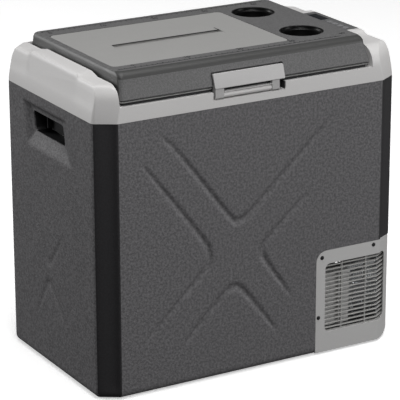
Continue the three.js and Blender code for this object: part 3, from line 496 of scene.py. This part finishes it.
def plan_corners(side_in, facet_in, face_in):
    """The cabinet's eight plan corners, moved in by separate amounts: x, y, radius."""
    def ends(facet):
        fx, fy = facet
        reach = fx * fy + facet_in * math.hypot(fx, fy)
        return (reach - fx * face_in) / fy, (reach - fy * side_in) / fx
    (fu, fv), (bu, bv) = ends(FRONT_FACET), ends(BACK_FACET)
    x, y = RIGHT - side_in, BACK - face_in
    side, face = max(SIDE_SOFT - side_in, 0.8), max(FACE_SOFT - face_in, 0.8)
    return [(-RIGHT + fu, -y, face), (RIGHT - fu, -y, face), (x, -BACK + fv, side), (x, BACK - bv, side),
            (RIGHT - bu, y, face), (-RIGHT + bu, y, face), (-x, BACK - bv, side), (-x, -BACK + fv, side)]


def plan_ring(side_in, facet_in, face_in, spans, steps=6):
    """Closed plan outline from the front left; spans are the fractions along each of its eight sides."""
    corners = plan_corners(side_in, facet_in, face_in)
    arcs = fillet([c[:2] for c in corners], [c[2] for c in corners], steps)
    out = []
    for i, fractions in enumerate(spans):
        out += arcs[i * (steps + 1):(i + 1) * (steps + 1)]
        a, b = Vector(out[-1]), Vector(arcs[(i + 1) % 8 * (steps + 1)])
        out += [tuple(a.lerp(b, t)) for t in fractions]
    return out


def headings(spans, steps=6):
    """Direction of travel at each point of a plan ring, and its place along a facet from the side."""
    front, back = math.atan2(FRONT_FACET[1], FRONT_FACET[0]), math.atan2(BACK_FACET[1], BACK_FACET[0])
    turn, half = math.pi, math.pi / 2
    way = [0, front, half, turn - back, turn, turn + back, 3 * half, 2 * turn - front]
    out = []
    for i, fractions in enumerate(spans):
        before = way[i - 1] - (2 * turn if i == 0 else 0)
        out += [(before + (way[i] - before) * k / steps, 0.0) for k in range(steps + 1)]
        along = {1: lambda t: 1 - t, 3: lambda t: t, 5: lambda t: 1 - t, 7: lambda t: t}.get(i)
        out += [(way[i], along(t) if along else 0.0) for t in fractions]
    return np.array(out)


def fractions_of(keys, low, high, pitch):
    """Fractions of a straight side between its rounded ends, through the keys."""
    inside = spaced((low, *keys, high), pitch)[1:-1]
    return [(t - low) / (high - low) for t in inside]


def side_limits(i):
    """Where straight side i of the plain outline starts and ends, along its own axis."""
    points = plan_ring(0, 0, 0, [[]] * 8)
    a, b = points[i * 7 + 6], points[(i + 1) % 8 * 7]
    axis = 0 if i in (0, 4) else 1
    return a[axis], b[axis]


def plan_spans(face_keys, side_keys, front_pitch, back_pitch, side_pitch, facet_steps):
    spans = []
    for i in range(8):
        if i % 2:
            spans.append([k / facet_steps for k in range(1, facet_steps)])
            continue
        low, high = side_limits(i)
        keys = face_keys if i in (0, 4) else side_keys
        keys = sorted(keys, reverse=high < low)
        spans.append(fractions_of(keys, low, high, {0: front_pitch, 4: back_pitch}.get(i, side_pitch)))
    return spans


def relief(u, v, lines):
    """Depth of soft grooves; a line is (depth, points), and a point is (u, v, half width, strength)."""
    depth = np.zeros_like(u)
    for deep, points in lines:
        points = smooth_line(points)
        best = np.zeros_like(u)
        for a, b in zip(points, points[1:]):
            du, dv = b[0] - a[0], b[1] - a[1]
            t = np.clip(((u - a[0]) * du + (v - a[1]) * dv) / (du * du + dv * dv), 0, 1)
            away = np.hypot(u - a[0] - t * du, v - a[1] - t * dv)
            half = a[2] + (b[2] - a[2]) * t
            strength = a[3] + (b[3] - a[3]) * t
            best = np.maximum(best, deep * strength * (1 - smoothstep(away / half)))
        depth = np.maximum(depth, best)
    return depth


def smooth_line(points, steps=6):
    """Catmull-Rom through the points."""
    p = np.array([points[0], *points, points[-1]], float)
    out = []
    for i in range(1, len(p) - 2):
        for t in np.arange(steps) / steps:
            a, b, c, d = p[i - 1], p[i], p[i + 1], p[i + 2]
            out.append(0.5 * (2 * b + (c - a) * t + (2 * a - 5 * b + 4 * c - d) * t ** 2
                              + (3 * b - a - 3 * c + d) * t ** 3))
    out.append(p[-1])
    return out


# Grooves of the X reliefs: see relief() for what the numbers are.
CROSS = (
    (3.8, [(-216, 406, 4, 0), (-180, 360, 6, 0.8), (-101, 257, 7, 1), (-86, 227, 9, 1), (-91, 202, 8, 1),
           (-140, 155, 6, 0.9), (-181, 117, 5, 0.6), (-210, 88, 4, 0)]),
    (3.8, [(-182, 447, 4, 0), (-144, 409, 6, 0.8), (-49, 287, 7, 1), (-30, 274, 9, 1), (-9, 282, 9, 1),
           (31, 317, 7, 1), (111, 389, 6, 0.8), (165, 438, 4, 0)]),
    (3.8, [(106, 300, 4, 0), (93, 288, 5, 0.7), (31, 234, 8, 1), (17, 212, 9, 1), (26, 189, 8, 1),
           (63, 137, 5, 0.7), (72, 122, 4, 0)]),
    (3.8, [(-146, 60, 4, 0), (-120, 89, 6, 0.7), (-59, 147, 8, 1), (-39, 158, 10, 1), (-19, 147, 8, 1),
           (30, 84, 6, 0.7), (48, 60, 4, 0)]),
)
SIDE_CROSS = (
    (1.7, [(62, 275, 4, 0), (37, 238, 6, 0.8), (14, 198, 8, 1), (5, 189, 9, 1), (-4, 198, 8, 1),
           (-27, 226, 6, 0.8), (-56, 262, 4, 0)]),
    (1.7, [(60, 78, 4, 0), (51, 94, 5, 0.6), (18, 144, 8, 1), (7, 154, 9, 1), (-4, 144, 8, 1),
           (-37, 110, 6, 0.8), (-52, 90, 4, 0)]),
)
HOLE_LEAN = 0.2


def dish_depth(y, z):
    """The recess around a hand hole: a steep wall above it, and long slopes on the other sides."""
    (y0, y1), (z0, z1) = GRIP_Y, GRIP_Z
    y = y - HOLE_LEAN * (z - (z0 + z1) / 2)
    walls = ((y - y0) / 34.0, (y1 - y) / 20.0, (z - z0) / 27.0, (z1 + 6.0 - z) / 9.0)
    t = np.clip(1 + np.minimum.reduce(walls), 0, 1)
    return DISH * (0.6 * t + 0.4 * smoothstep(t))


def corner_distance(u, v, u0, v0, r):
    """Signed distance to the region right of u0 and below v0, whose corner has radius r."""
    a, b = u0 + r - u, v - (v0 - r)
    return np.where((a > 0) & (b > 0), np.hypot(a, b), np.maximum(a, b)) - r


def box_distance(u, v, u0, u1, v0, v1, r):
    a = np.abs(u - (u0 + u1) / 2) - (u1 - u0) / 2 + r
    b = np.abs(v - (v0 + v1) / 2) - (v1 - v0) / 2 + r
    return np.hypot(np.maximum(a, 0), np.maximum(b, 0)) + np.minimum(np.maximum(a, b), 0) - r


def flute(t):
    """Depth of the shallow flute along a corner facet; t runs from the side to the front."""
    return 1.7 * smoothstep(t, 0.08, 0.78) * smoothstep(1 - t, 0.0, 0.2) * (t > 0)


def hand_hole(y, z):
    """Signed distance to a hand hole's outline."""
    return box_distance(y - HOLE_LEAN * (z - sum(GRIP_Z) / 2), z, *GRIP_Y, *GRIP_Z, 6.0)


def bay_edge(x, z):
    """Signed distance to the corner that the ventilated cover fills."""
    return corner_distance(x, z, BAY_X - GAP, BAY_TOP + GAP, BAY_CORNER)


def make_shell():
    spans = plan_spans((BAY_X - GAP,), GRIP_Y, 2.7, 3.6, 3.6, 14)
    way = headings(spans)
    heading, along = way[:, 0], way[:, 1]
    levels = spaced((SHELL_TOP, GRIP_Z[1], GRIP_Z[0], BAY_TOP + GAP, SHELL_BOTTOM + BOTTOM_ROUND), 2.8)
    rings = [(z, 0.0) for z in levels]
    for k in range(1, 7):
        a = k / 6 * math.pi / 2
        moved = (BOTTOM_ROUND - 0.8) * (1 - math.cos(a))
        rings.append((SHELL_BOTTOM + BOTTOM_ROUND * (1 - math.sin(a)), moved))
    rows, cols = len(rings), len(way)
    plain = np.array(plan_ring(0, 0, 0, spans))
    grids = [plain if moved == 0 else np.array(plan_ring(moved, moved, moved, spans)) for _, moved in rings]
    x, y = (np.array([g[:, axis] for g in grids]) for axis in (0, 1))
    z = np.tile(np.array([level for level, _ in rings])[:, None], (1, cols))
    nx, ny = np.sin(heading)[None, :], -np.cos(heading)[None, :]
    straight = np.tile(np.abs(np.mod(heading, math.pi / 2)) < 1e-6, (rows, 1))
    on_side = straight & (np.abs(np.sin(heading)) > 0.5)[None, :]
    on_face = straight & ~on_side
    drop = np.where(on_face, relief(x, z, CROSS), 0.0)
    drop = np.where(on_side, dish_depth(y, z) + relief(y, z, SIDE_CROSS), drop)
    drop = drop + flute(along)[None, :] * smoothstep(z, 4.0, 30.0)

    def mid(grid):
        across = (grid + np.roll(grid, -1, axis=1)) / 2
        return (across[:-1] + across[1:]) / 2

    side_mid = on_side[:-1] & np.roll(on_side, -1, axis=1)[:-1]
    hole_mid = np.where(side_mid, hand_hole(mid(y), mid(z)), 9.0)
    shown = (bay_edge(mid(x), mid(z)) > 0) & (hole_mid > 0)

    # Corner points of the holes move onto the holes' rounded outlines.
    used, lost = np.zeros_like(x, bool), np.zeros_like(x, bool)
    for dr in (0, 1):
        for dc in (0, 1):
            used[dr:rows - 1 + dr] |= np.roll(shown, dc, axis=1)
            lost[dr:rows - 1 + dr] |= np.roll(~shown, dc, axis=1)
    rim = used & lost
    step = 0.01
    for distance, along_x, where in ((bay_edge, True, on_face), (hand_hole, False, on_side)):
        u = x if along_x else y
        off = distance(u, z)
        du = (distance(u + step, z) - distance(u - step, z)) / (2 * step)
        dv = (distance(u, z + step) - distance(u, z - step)) / (2 * step)
        near = rim & where & (np.abs(off) < 4.0)
        scale = np.where(near, -off / np.maximum(du * du + dv * dv, 0.2), 0.0)
        u = u + scale * du
        z = z + scale * dv
        x, y = (u, y) if along_x else (x, u)

    points = np.stack([x - nx * drop, y - ny * drop, z], axis=-1).reshape(-1, 3)
    faces = [(r * cols + c, r * cols + (c + 1) % cols, (r + 1) * cols + (c + 1) % cols, (r + 1) * cols + c)
             for r, c in zip(*np.nonzero(shown))]
    last = (rows - 1) * cols
    under = [c for c in range(cols) if used[-1, c]]
    jump = next(i for i in range(len(under) - 1) if under[i + 1] - under[i] > 1)
    faces.append([last + c for c in under[jump + 1:] + under[:jump + 1]])
    kept = sorted({i for f in faces for i in f})
    index = {old: new for new, old in enumerate(kept)}
    shell = put("shell", points[kept], [[index[i] for i in f] for f in faces])
    skin = shell.modifiers.new("skin", "SOLIDIFY")
    skin.thickness = WALL * MM
    skin.offset = -1
    skin.use_even_offset = True
    skin.use_quality_normals = True
    bake(shell)
    crease(shell, 40)
    finish_piece(shell, "cabinet_shell", "cabinet", "shell_plastic", SHELL, "outer_shell")
    # Painted shade: the four corner facets take the near-black second material, darker than the rest of the
    # shell.
    shell.data.materials.append(SHELL_CORNER_SHADE)
    for face in shell.data.polygons:
        cx, cy = abs(face.center.x) / MM, face.center.y / MM
        at_end = cy < -BACK + FRONT_FACET[1] - 1 or cy > BACK - BACK_FACET[1] + 2
        face.material_index = int(cx > RIGHT - FRONT_FACET[0] - 1.5 and at_end)
    return shell


make_shell()


# ------------------------------------------------------------------ collar
RAISED_KEYS = (-102, -95, -92, -89, -86, -83, -80, -50, -20, 20, 50, 70, 74, 78, 82, 86, 90, 96)
# Each level: height, then how far the sides, the facets and the faces are moved in.
COLLAR_LEVELS = (
    (COLLAR_BOTTOM, 0, 0, 0), (480, 0.9, 0.4, 0), (490, 2.5, 1.5, 0), (497, 4, 2.5, 0), (503, 5.5, 3.5, 0.2),
    (508, 6.5, 4.4, 0.7), (513, 7.5, 5.5, 1.8), (516, 8.1, 6.4, 3), (519, 8.7, 7.5, 4.6),
    (521.5, 9.2, 8.6, 6.5), (524, 9.8, 9.9, 9), (526, 10.2, 11.0, 11.3), (528, 10.7, 12.2, 14),
    (529.6, 11.2, 13.5, 16.8), (531, 11.8, 14.8, 20), (532, 12.6, 16.2, 22.3), (532.7, 13.6, 17.8, 24.5),
    (533.2, 15.2, 20, 27.5), (533.5, 18, 23, 31), (LEDGE_TOP, 26, 30, 38), (LEDGE_TOP, 40, 47.5, 52),
    (LEDGE_TOP, 60, 73, 70),
)


def raised_at(y):
    """How much of the side wall's extra height is reached at y."""
    y = np.float64(y)
    return float(smoothstep(y, -94, -83) * (1 - smoothstep(y, 75, 90)))


def collar_rings(grow=0.0, top=600.0):
    spans = plan_spans((-180, 0, 180), RAISED_KEYS, 60, 60, 30, 4)
    rings = []
    for z, side, facet, face in COLLAR_LEVELS:
        outline = plan_ring(side + grow, facet + grow, face + grow, spans)
        lift = RAISE * min(max((z - 490) / 43, 0), 1)
        rings.append([(x, y, min(top, z + lift * raised_at(y) * (abs(x) > 200))) for x, y in outline])
    return rings


def latch_mount():
    """The lip and pivot barrel between the latch's legs."""
    x0, x1 = BARREL
    barrel = rod("x", LATCH_Y, LATCH_Z, 4.7, x0, x1, 40)
    web = block(x0, x1, LATCH_Y, -162, LATCH_Z - 4, LATCH_Z + 3.5)
    wall = block(x0, x1, LATCH_Y, -172, LATCH_Z, 496.5)
    lip = block(x0, x1, -BACK, -171.9, SHELF_TOP - 1.2, SHELF_TOP)
    return weld(barrel, web, wall, lip)


def make_pocket_shade():
    """Painted shade: dark strips put where the latch's pocket lies in shade, behind the lip and along the
    pocket's rear wall.
    """
    x0, x1 = BARREL
    upstand = block(x0, x1, -172.2, -170.8, 495.5, 504.6)
    half = 68.6
    rear = block(LATCH_X - half, LATCH_X + half, -164, -163, 487, 499.6)
    inner = half - 0.8
    ends = [block(a, b, -176.5, -163, 487, 499.6)
            for a, b in ((LATCH_X - half, LATCH_X - inner), (LATCH_X + inner, LATCH_X + half))]
    shade_strips = join("latch_pocket", [upstand, rear, *ends])
    return finish_piece(shade_strips, "latch_pocket_painted_shade", "cabinet", "black_plastic", RUBBER)


def make_collar():
    collar = loft("collar", collar_rings())
    slot_x0, slot_x1 = LID["x0"] - 2, LID["x1"] + 2
    slot = block(slot_x0, slot_x1, -400, LID["y1"] + 4, SHELF_TOP, 600)
    lower = collar_rings(WALL, SHELF_TOP - WALL)[:4]
    hollow = loft("tool", [[(x, y, z if z > COLLAR_BOTTOM else 460) for x, y, z in level] for level in lower])
    mouth = prism("tool", rect(CAVITY["x0"], CAVITY["y0"], CAVITY["x1"], CAVITY["y1"], CAVITY["r"], 10),
                  "z", 400, 600)
    cut(collar, slot, hollow, mouth)
    for x0, x1 in ((-400, slot_x0 - WALL), (slot_x1 + WALL, 400)):
        space = [[(x, y, z - WALL) for x, y, z in level] for level in collar_rings(WALL)]
        cut(collar, keep(loft("tool", space), block(x0, x1, -135, 140, 471.5, 529)))
    cut(collar, block(-120, 100, 155, 170, 470, 522))
    half = 69
    weld(collar, block(LATCH_X - half - WALL, LATCH_X + half + WALL, -BACK + 1, -160, 483.5, 498))
    cut(collar, prism("tool", rect(LATCH_X - half, 486.5, LATCH_X + half, 540, 2, 4), "y", -400, -163))
    weld(collar, latch_mount())
    for x in (-158.5, 141.5):
        cut(collar, block(x - 33, x + 33, 150, 171, SHELF_TOP, 600))
    seat = LEDGE_TOP + RAISE - 5
    cut(collar, prism("tool", rect(235.7, -74.3, 273.8, 62.3, 4, 4), "z", seat - GAP, 600),
        prism("tool", rect(240, -70, 269, 58, 3, 4), "z", 520, 600))
    soften(collar, 0.9, 38, 3)
    return finish_piece(collar, "collar", "cabinet", "rim_plastic", RIM, "rim_collar")


make_collar()
make_pocket_shade()


# ------------------------------------------------------------------ lid
def ring(x0, y0, x1, y1, r, z):
    """One level of a rounded block: equal counts at every level, so levels can be lofted."""
    return [(u, v, z) for u, v in rect(x0, y0, x1, y1, r, 12)]


def lid_levels(inset, bottom, top, round_edges=True):
    """Rings of the lid's outside, or of its hollow when inset."""
    x0, x1, y0, y1 = LID["x0"] + inset, LID["x1"] - inset, LID["y0"] + inset, LID["y1"] - inset
    shoulder = top - LID_SHOULDER
    lower_round = 2.4
    rings = []
    if round_edges:
        for k in range(4):
            a = k / 3 * math.pi / 2
            c = lower_round * (1 - math.sin(a))
            rings.append(ring(x0 + c, y0 + c, x1 - c, y1 - c, 8, bottom + lower_round * (1 - math.cos(a))))
    else:
        rings.append(ring(x0, y0, x1, y1, 6, bottom))
    xa, xb, ya, yb = x0 + 4, x1 - 5, y0 + 11, y1 - 1
    rings.append(ring(xa, ya, xb, yb, 9, shoulder))
    for k in range(1, 8):
        a = k / 7 * math.pi / 2
        s, c = math.sin(a), 1 - math.cos(a)
        z = shoulder + LID_SHOULDER * s
        rings.append(ring(xa + 4.5 * c, ya + 17.0 * c, xb - 6 * c, yb - 5 * c, 9, z))
    return rings


def make_lid():
    lid = loft("lid", lid_levels(0, LID["bottom"], LID["top"]))
    cut(lid, loft("tool", lid_levels(3, 500, LID["top"] - 9, False)))
    notch_half = 68.5
    weld(lid, keep(block(LATCH_X - notch_half - 3, LATCH_X + notch_half + 3, -200, -161.5, 508.2, 534.5),
                   loft("tool", lid_levels(0.05, LID["bottom"], LID["top"]))))
    cut(lid, prism("tool", rect(LATCH_X - notch_half, 480, LATCH_X + notch_half, 531.5, 2, 3),
                   "y", -400, -164.5))
    cut(lid, prism("tool", rect(MAT["x0"] - 0.6, MAT["y0"] - 0.6, MAT["x1"] + 0.9, MAT["y1"] + 0.9, 10, 8),
                   "z", LID["top"] - 5, 600))
    for _, x, y, _ in CUPS:
        cut(lid, rod("z", x, y, CUP_RADIUS + GAP, 500, 600, 64))
    soften(lid, 0.5, 34, 2)
    finish_piece(lid, "lid_shell", "lid", "lid_plastic", LID_GRAIN, "lid_cover")
    lid.data.materials.append(LID_BAND_AND_SHADE)
    for face in lid.data.polygons:
        c, n = face.center / MM, face.normal
        front_band = c.z > LID["top"] - LID_SHOULDER + 0.2 and c.y < LID["y0"] + 29 and n.z < 0.995
        # Painted shade: the lid's left and right end faces take the dark smooth material so that they read as
        # shaded; the front band's smooth finish is real.
        end = abs(n.x) > 0.8 and (c.x < LID["x0"] + 9 or c.x > LID["x1"] - 12)
        if front_band or end:
            face.material_index = 1
    return lid


def make_mat():
    outline = rect(MAT["x0"], MAT["y0"], MAT["x1"], MAT["y1"], 10, 8)
    slab = prism("mat", outline, "z", LID["top"] - 4.7, LID["top"] - 0.2)
    wedge = prism("tool", [(-2.5, 548.3), (-2.5, 556), (-30, 556), (-27, 551.8)], "x", -170, 37)
    cut(slab, wedge)
    soften(slab, 0.7, 20, 2)
    return finish_piece(slab, "work_mat", "lid", "mat_plastic", MAT_LOOK, "lid_mat")


def make_cup(name, x, y, node):
    r, top = CUP_RADIUS, LID["top"]
    floor = top - CUP_DEPTH
    profile = [(1, floor - 2), (r - 4.5, floor - 2), (r - 2.5, floor), (r - 2.5, top - 7), (r, top - 5),
               (r, top - 1.0), (r - 0.5, top - 0.5), (r - 1.4, top - 0.5), (r - 2.0, top - 1.2),
               (r - 2.2, top - 4), (r - 3, top - 5.2), (r - 4.6, top - 5.8), (r - 5.2, top - 6.6),
               (r - 5.6, floor + 4), (r - 7, floor + 1.2), (r - 9.5, floor + 0.2), (r - 14, floor),
               (r - 14.6, floor + 0.8), (r - 17, floor + 0.8), (r - 17.6, floor), (1, floor)]
    cup = lathe(name, profile, "z", x, y, 64)
    crease(cup, 35)
    return finish_piece(cup, name, "lid", "cup_plastic", CUP_BLACK, node)


make_lid()
make_mat()
for cup_name, cup_x, cup_y, cup_node in CUPS:
    make_cup(cup_name, cup_x, cup_y, cup_node)


# ------------------------------------------------------------------ latch
def make_latch():
    low, high, half = 505.5, 529.5, 66.5
    side = fillet([(-177, low), (-169.3, high), (-173.3, high), (-181, low)], 1.2, 3)
    plate = prism("latch", side, "x", LATCH_X - half, LATCH_X + half)
    keep(plate, prism("tool", rect(LATCH_X - half, low - 1, LATCH_X + half, high + 1, 4, 5), "y", -200, -150))
    legs = []
    for x0, x1 in LEGS:
        outline = fillet([(-179.1, 488.6), (-173.5, 486.8), (-167.9, 488.8), (-168, 497), (-171, 511),
                          (-178.5, 511)], [3, 4, 3, 4, 1, 1], 4)
        legs.append(prism("leg", outline, "x", x0, x1))
    weld(plate, *legs)
    cut(plate, rod("x", LATCH_Y, LATCH_Z, 2.0, LATCH_X - 70, LATCH_X + 70))
    soften(plate, 0.7, 34, 2)
    return finish_piece(plate, "latch_plate", "latch", "latch_plastic", LATCH_LOOK, "latch_handle")


make_latch()


# ------------------------------------------------------------------ ventilated cover
COVER_X = RIGHT - 3.0
HEEL = 20.0
WINDOWS = {
    "front": (143.5, 272.0, 39.5, 164.5),
    "side": (-110.0, 110.0, 39.5, 164.5),
    "rear": (143.5, 264.0, 39.5, 132.0),
}
SCREWS = ((136.5, 177, -1, "cover_screw_front_1"), (242, 182, -1, "cover_screw_front_2"),
          (130.5, 68.5, -1, "cover_screw_front_3"), (136.5, 177, 1, "cover_screw_rear_1"),
          (242, 182, 1, "cover_screw_rear_2"))


def cover_form(inset, bottom=4.0, top=BAY_TOP):
    """The cover's outside, or its hollow when inset."""
    outline = plan_ring(3.0 + inset, inset, inset, [[]] * 8)
    form = prism("cover", outline, "z", bottom + inset, top + (5 if inset else 0))
    x0, x1, z0, z1 = BAY_X - 40, COVER_X - inset, bottom + inset, top + 10
    view = fillet([(x0, z0), (x1, z0), (x1, z1), (x0, z1)], [0, HEEL - inset, 0, 0], 12)
    return keep(form, prism("tool", view, "y", -400, 400))


def make_cover():
    cover = cover_form(0)
    seen = prism("tool", rect(BAY_X, -80, 500, BAY_TOP, BAY_CORNER, 10), "y", -400, 400)
    keep(cover, seen)
    cut(cover, cover_form(2.5))
    cut(cover, block(BAY_X - 5, COVER_X - HEEL, -BACK + 8, BACK - 8, -5, 14))
    for key, near, far in (("front", -400, -BACK + 20), ("rear", BACK - 20, 400), ("side", RIGHT - 20, 400)):
        a0, a1, z0, z1 = WINDOWS[key]
        cut(cover, prism("tool", rect(a0, z0, a1, z1, 10, 8), "x" if key == "side" else "y", near, far))
    for x, z, half_x, half_z in ((168, 150, 13, 9), (222, 150, 16, 10.5)):
        outline = rect(x - half_x, z - half_z, x + half_x, z + half_z, 2, 4)
        cut(cover, prism("tool", outline, "y", BACK - 10, BACK + 5))
    for x, z, side, _ in SCREWS:
        cut(cover, rod("y", x, z, 3.8, *((-400, -BACK + 0.9) if side < 0 else (BACK - 0.9, 400))))
    soften(cover, 0.9, 38, 3)
    return finish_piece(cover, "vent_shell", "cabinet", "rim_plastic", VENT_LOOK, "vent_cover")


make_cover()


def skin_path(key, inset):
    """Plan points along the inside of the cover's face, with outward directions."""
    a0, a1, _, _ = WINDOWS[key]
    if key == "side":
        return [((COVER_X - inset, y), (1.0, 0.0)) for y in spaced((a0 - 3, a1 + 3), 40)]
    corners = plan_corners(3.0 + inset, inset, inset)
    i, j, facet, side = (1, 2, FRONT_FACET, -1) if key == "front" else (4, 3, BACK_FACET, 1)
    bend_at, far = Vector(corners[i][:2]), Vector(corners[j][:2])
    out = [((a0 - 3, bend_at.y), (0.0, side))]
    way = (facet[1] / math.hypot(*facet), side * facet[0] / math.hypot(*facet))
    mitre = Vector((way[0], way[1] + side))
    out.append((tuple(bend_at), tuple(mitre * (2 / mitre.length_squared))))
    t = (a1 + 3 - bend_at.x) / (far.x - bend_at.x)
    out.append((tuple(bend_at.lerp(far, t)), way))
    return out


def band(path, section):
    """A solid that follows a plan path; the section is (outward, up) pairs."""
    rings = [[(p[0] + n[0] * out, p[1] + n[1] * out, z) for out, z in section] for p, n in path]
    return loft("band", rings)


def make_grille(key, rows):
    a0, a1, z0, z1 = WINDOWS[key]
    path = skin_path(key, 5.0)
    parts = []
    pitch = (z1 - z0 - 4) / rows
    for row in range(rows):
        z = z0 + 2 + (row + 0.5) * pitch
        section = fillet([(1.6, z - 0.9), (1.6, z + 0.7), (-2.2, z + 1.5), (-2.2, z - 0.1)], 0.35, 2)
        parts.append(band(path, section))
    for low, high in ((z0 - 3, z0 + 1.2), (z1 - 1.2, z1 + 3)):
        parts.append(band(path, [(1.4, low), (1.4, high), (-2.4, high), (-2.4, low)]))
    side = {"front": -1, "rear": 1}.get(key)
    posts = (180.0, 229.0) if key != "side" else (-55.0, 0.0, 55.0)
    if side:
        face = side * (BACK - 5.0)
        ends = sorted((face + side * 1.2, face - side * 3.4))
        parts += [block(x - 1.0, x + 1.0, *ends, z0, z1) for x in posts]
        parts.append(block(a0 - 3, a0 + 1.0, *ends, z0 - 3, z1 + 3))
    else:
        face = COVER_X - 5.0
        parts += [block(face - 3.4, face + 1.2, y - 1.0, y + 1.0, z0, z1) for y in posts]
        parts += [block(face - 2.6, face + 1.2, y - 2, y + 2, z0 - 3, z1 + 3) for y in (a0 - 1, a1 + 1)]
    grille = join("grille", parts)
    crease(grille, 35)
    name, node = f"vent_louvres_{key}", f"vent_grille_{key}"
    return finish_piece(grille, name, "cabinet", "rim_plastic", SLAT_LOOK, node)


make_grille("front", 16)
make_grille("rear", 12)
make_grille("side", 16)


def make_screw(x, z, side, node):
    face = side * BACK
    profile = [(1.3, -12), (1.3, -0.8), (3.4, -0.8), (3.4, 0.3), (3.0, 0.9), (2.0, 1.25), (0.6, 1.35)]
    screw = lathe("screw", [(r, face + side * h) for r, h in profile], "y", x, z, 24)
    ends = (face + side * 0.3, face + side * 3)
    cross = [block(x - a, x + a, min(ends), max(ends), z - b, z + b) for a, b in ((1.9, 0.4), (0.4, 1.9))]
    cut(screw, *cross)
    crease(screw, 35)
    return finish_piece(screw, node.replace("cover_", "vent_"), "cabinet", "screw_steel", BLACK, node)


for screw_spec in SCREWS:
    make_screw(*screw_spec)


# ------------------------------------------------------------------ ruler on the lid
def text_mesh(text, x, y, size):
    """Figures that stand a little out of the lid's top."""
    curve = bpy.data.curves.new("figure", "FONT")
    curve.body = text
    curve.size = size * MM
    curve.extrude = 0.15 * MM
    curve.align_x = "CENTER"
    curve.align_y = "CENTER"
    holder = bpy.data.objects.new("figure", curve)
    holder.location = (x * MM, y * MM, LID["top"] * MM)
    scene.collection.objects.link(holder)
    bpy.context.view_layer.update()
    graph = bpy.context.evaluated_depsgraph_get()
    mesh = bpy.data.meshes.new_from_object(holder.evaluated_get(graph))
    mesh.transform(holder.matrix_world)
    obj = bpy.data.objects.new("figure", mesh)
    scene.collection.objects.link(obj)
    bpy.data.objects.remove(holder)
    return obj


def make_ruler():
    """Centimetre scales along the front and back of the lid's top, and a painted shadow line along the lid
    panel's groove.
    """
    low, high = LID["top"] - 0.15, LID["top"] + 0.12
    marks = []
    for y, way, first, last, zero in ((-144.5, 1, -234, 190, -200), (133, -1, -232, 205, -220)):
        marks.append(block(first, last, y - 0.8, y + 0.8, low, high))
        for k in range(-3, 44):
            x = zero + 10 * k
            if first < x < last:
                length = 6.5 if k % 5 == 0 else 4.0
                a, b = sorted((y + way * 0.5, y + way * length))
                marks.append(block(x - 0.7, x + 0.7, a, b, low, high))
        for k in range(5):
            marks.append(text_mesh(str(10 * k), zero + 100 * k, y + way * 13, 12.5))
    # Painted shadow: a dark line along the groove of the lid's panel, turned back at its right end, where the
    # groove throws shade.
    groove_shadow = LID["top"] - 0.9, LID["top"] - 0.05
    marks.append(block(-168, 36.5, -4.9, -2.4, *groove_shadow))
    marks.append(block(34.5, 36.5, -4.9, 12, *groove_shadow))
    marks = join("ruler", marks)
    return finish_piece(marks, "lid_ruler_marks_and_painted_shadow", "lid", "lid_plastic", RULER_INK_AND_SHADOW)


make_ruler()


def make_foam():
    """The foam's CAD solid, cut back behind the grip recesses and the grooved walls."""
    source = nodes["insulation_foam"]
    foam = bpy.data.objects.new("foam", source.data.copy())
    foam.matrix_world = source.matrix_world
    scene.collection.objects.link(foam)
    reach = RIGHT - DISH - WALL - 1
    tools = [block(a, b, GRIP_Y[0] - 42, GRIP_Y[1] + 30, GRIP_Z[0] - 32, GRIP_Z[1] + 24)
             for a, b in ((-400, -reach), (reach, 400))]
    tools.append(block(-400, 400, -400, -BACK + WALL + 3.5, -50, 700))
    tools.append(block(-400, 400, BACK - WALL - 3.5, 400, -50, 700))
    cut(foam, *tools)
    for face in foam.data.polygons:
        face.use_smooth = False
    return finish_piece(foam, "foam_fill", "cabinet", "foam", FOAM, "insulation_foam")


make_foam()


# ------------------------------------------------------------------ CAD nodes that stay
dress("handle_cup_left", BLACK, 0.8)
dress("handle_cup_right", BLACK, 0.8)
dress("inner_liner", WHITE, 0.4)
dress("evaporator_wrap", ALUMINIUM, 0)
dress("interior_light", LAMP, 0.6)
dress("wire_basket", WIRE, 0.9)
dress("bay_partition", ALUMINIUM, 0.3)
dress("compressor_tray", STEEL, 0.3)
dress("compressor", ENAMEL, 0.8)
dress("condenser_fins", ALUMINIUM, 0)
dress("condenser_coil", BRIGHT, 0)
dress("fan_frame", BLACK, 0.6)
dress("fan_rotor", BLACK, 0.4)
dress("controller_box", CASE, 1.5)
dress("filter_drier", COPPER, 0)
dress("suction_pipe", COPPER, 0)
dress("dc_inlet", BLACK, 0.4)
dress("ac_inlet", BLACK, 0.4)
dress("control_panel", PANEL, 0.5)
dress("display_lens", LENS, 0.2)
dress("control_board", BOARD, 0)
dress("lid_foam", GREY_FOAM, 0)
dress("lid_inner_pan", PAN, 0.8)
dress("lid_gasket", RUBBER, 0.6)
dress("latch_pin", STEEL, 0.2)
for number in (1, 2, 3):
    dress(f"compressor_grommet_{number}", RUBBER, 0.6)
for side_name in ("left", "right"):
    dress(f"hinge_bracket_{side_name}", STEEL, 0.3)
    dress(f"hinge_leaf_{side_name}", STEEL, 0.3)
    dress(f"hinge_pin_{side_name}", STEEL, 0.2)
    for end_name in ("front", "rear"):
        dress(f"foot_{end_name}_{side_name}", RUBBER, 0.8)
for key_name in ("power", "set", "up", "down"):
    dress(f"button_{key_name}", KEYS, 0.8)
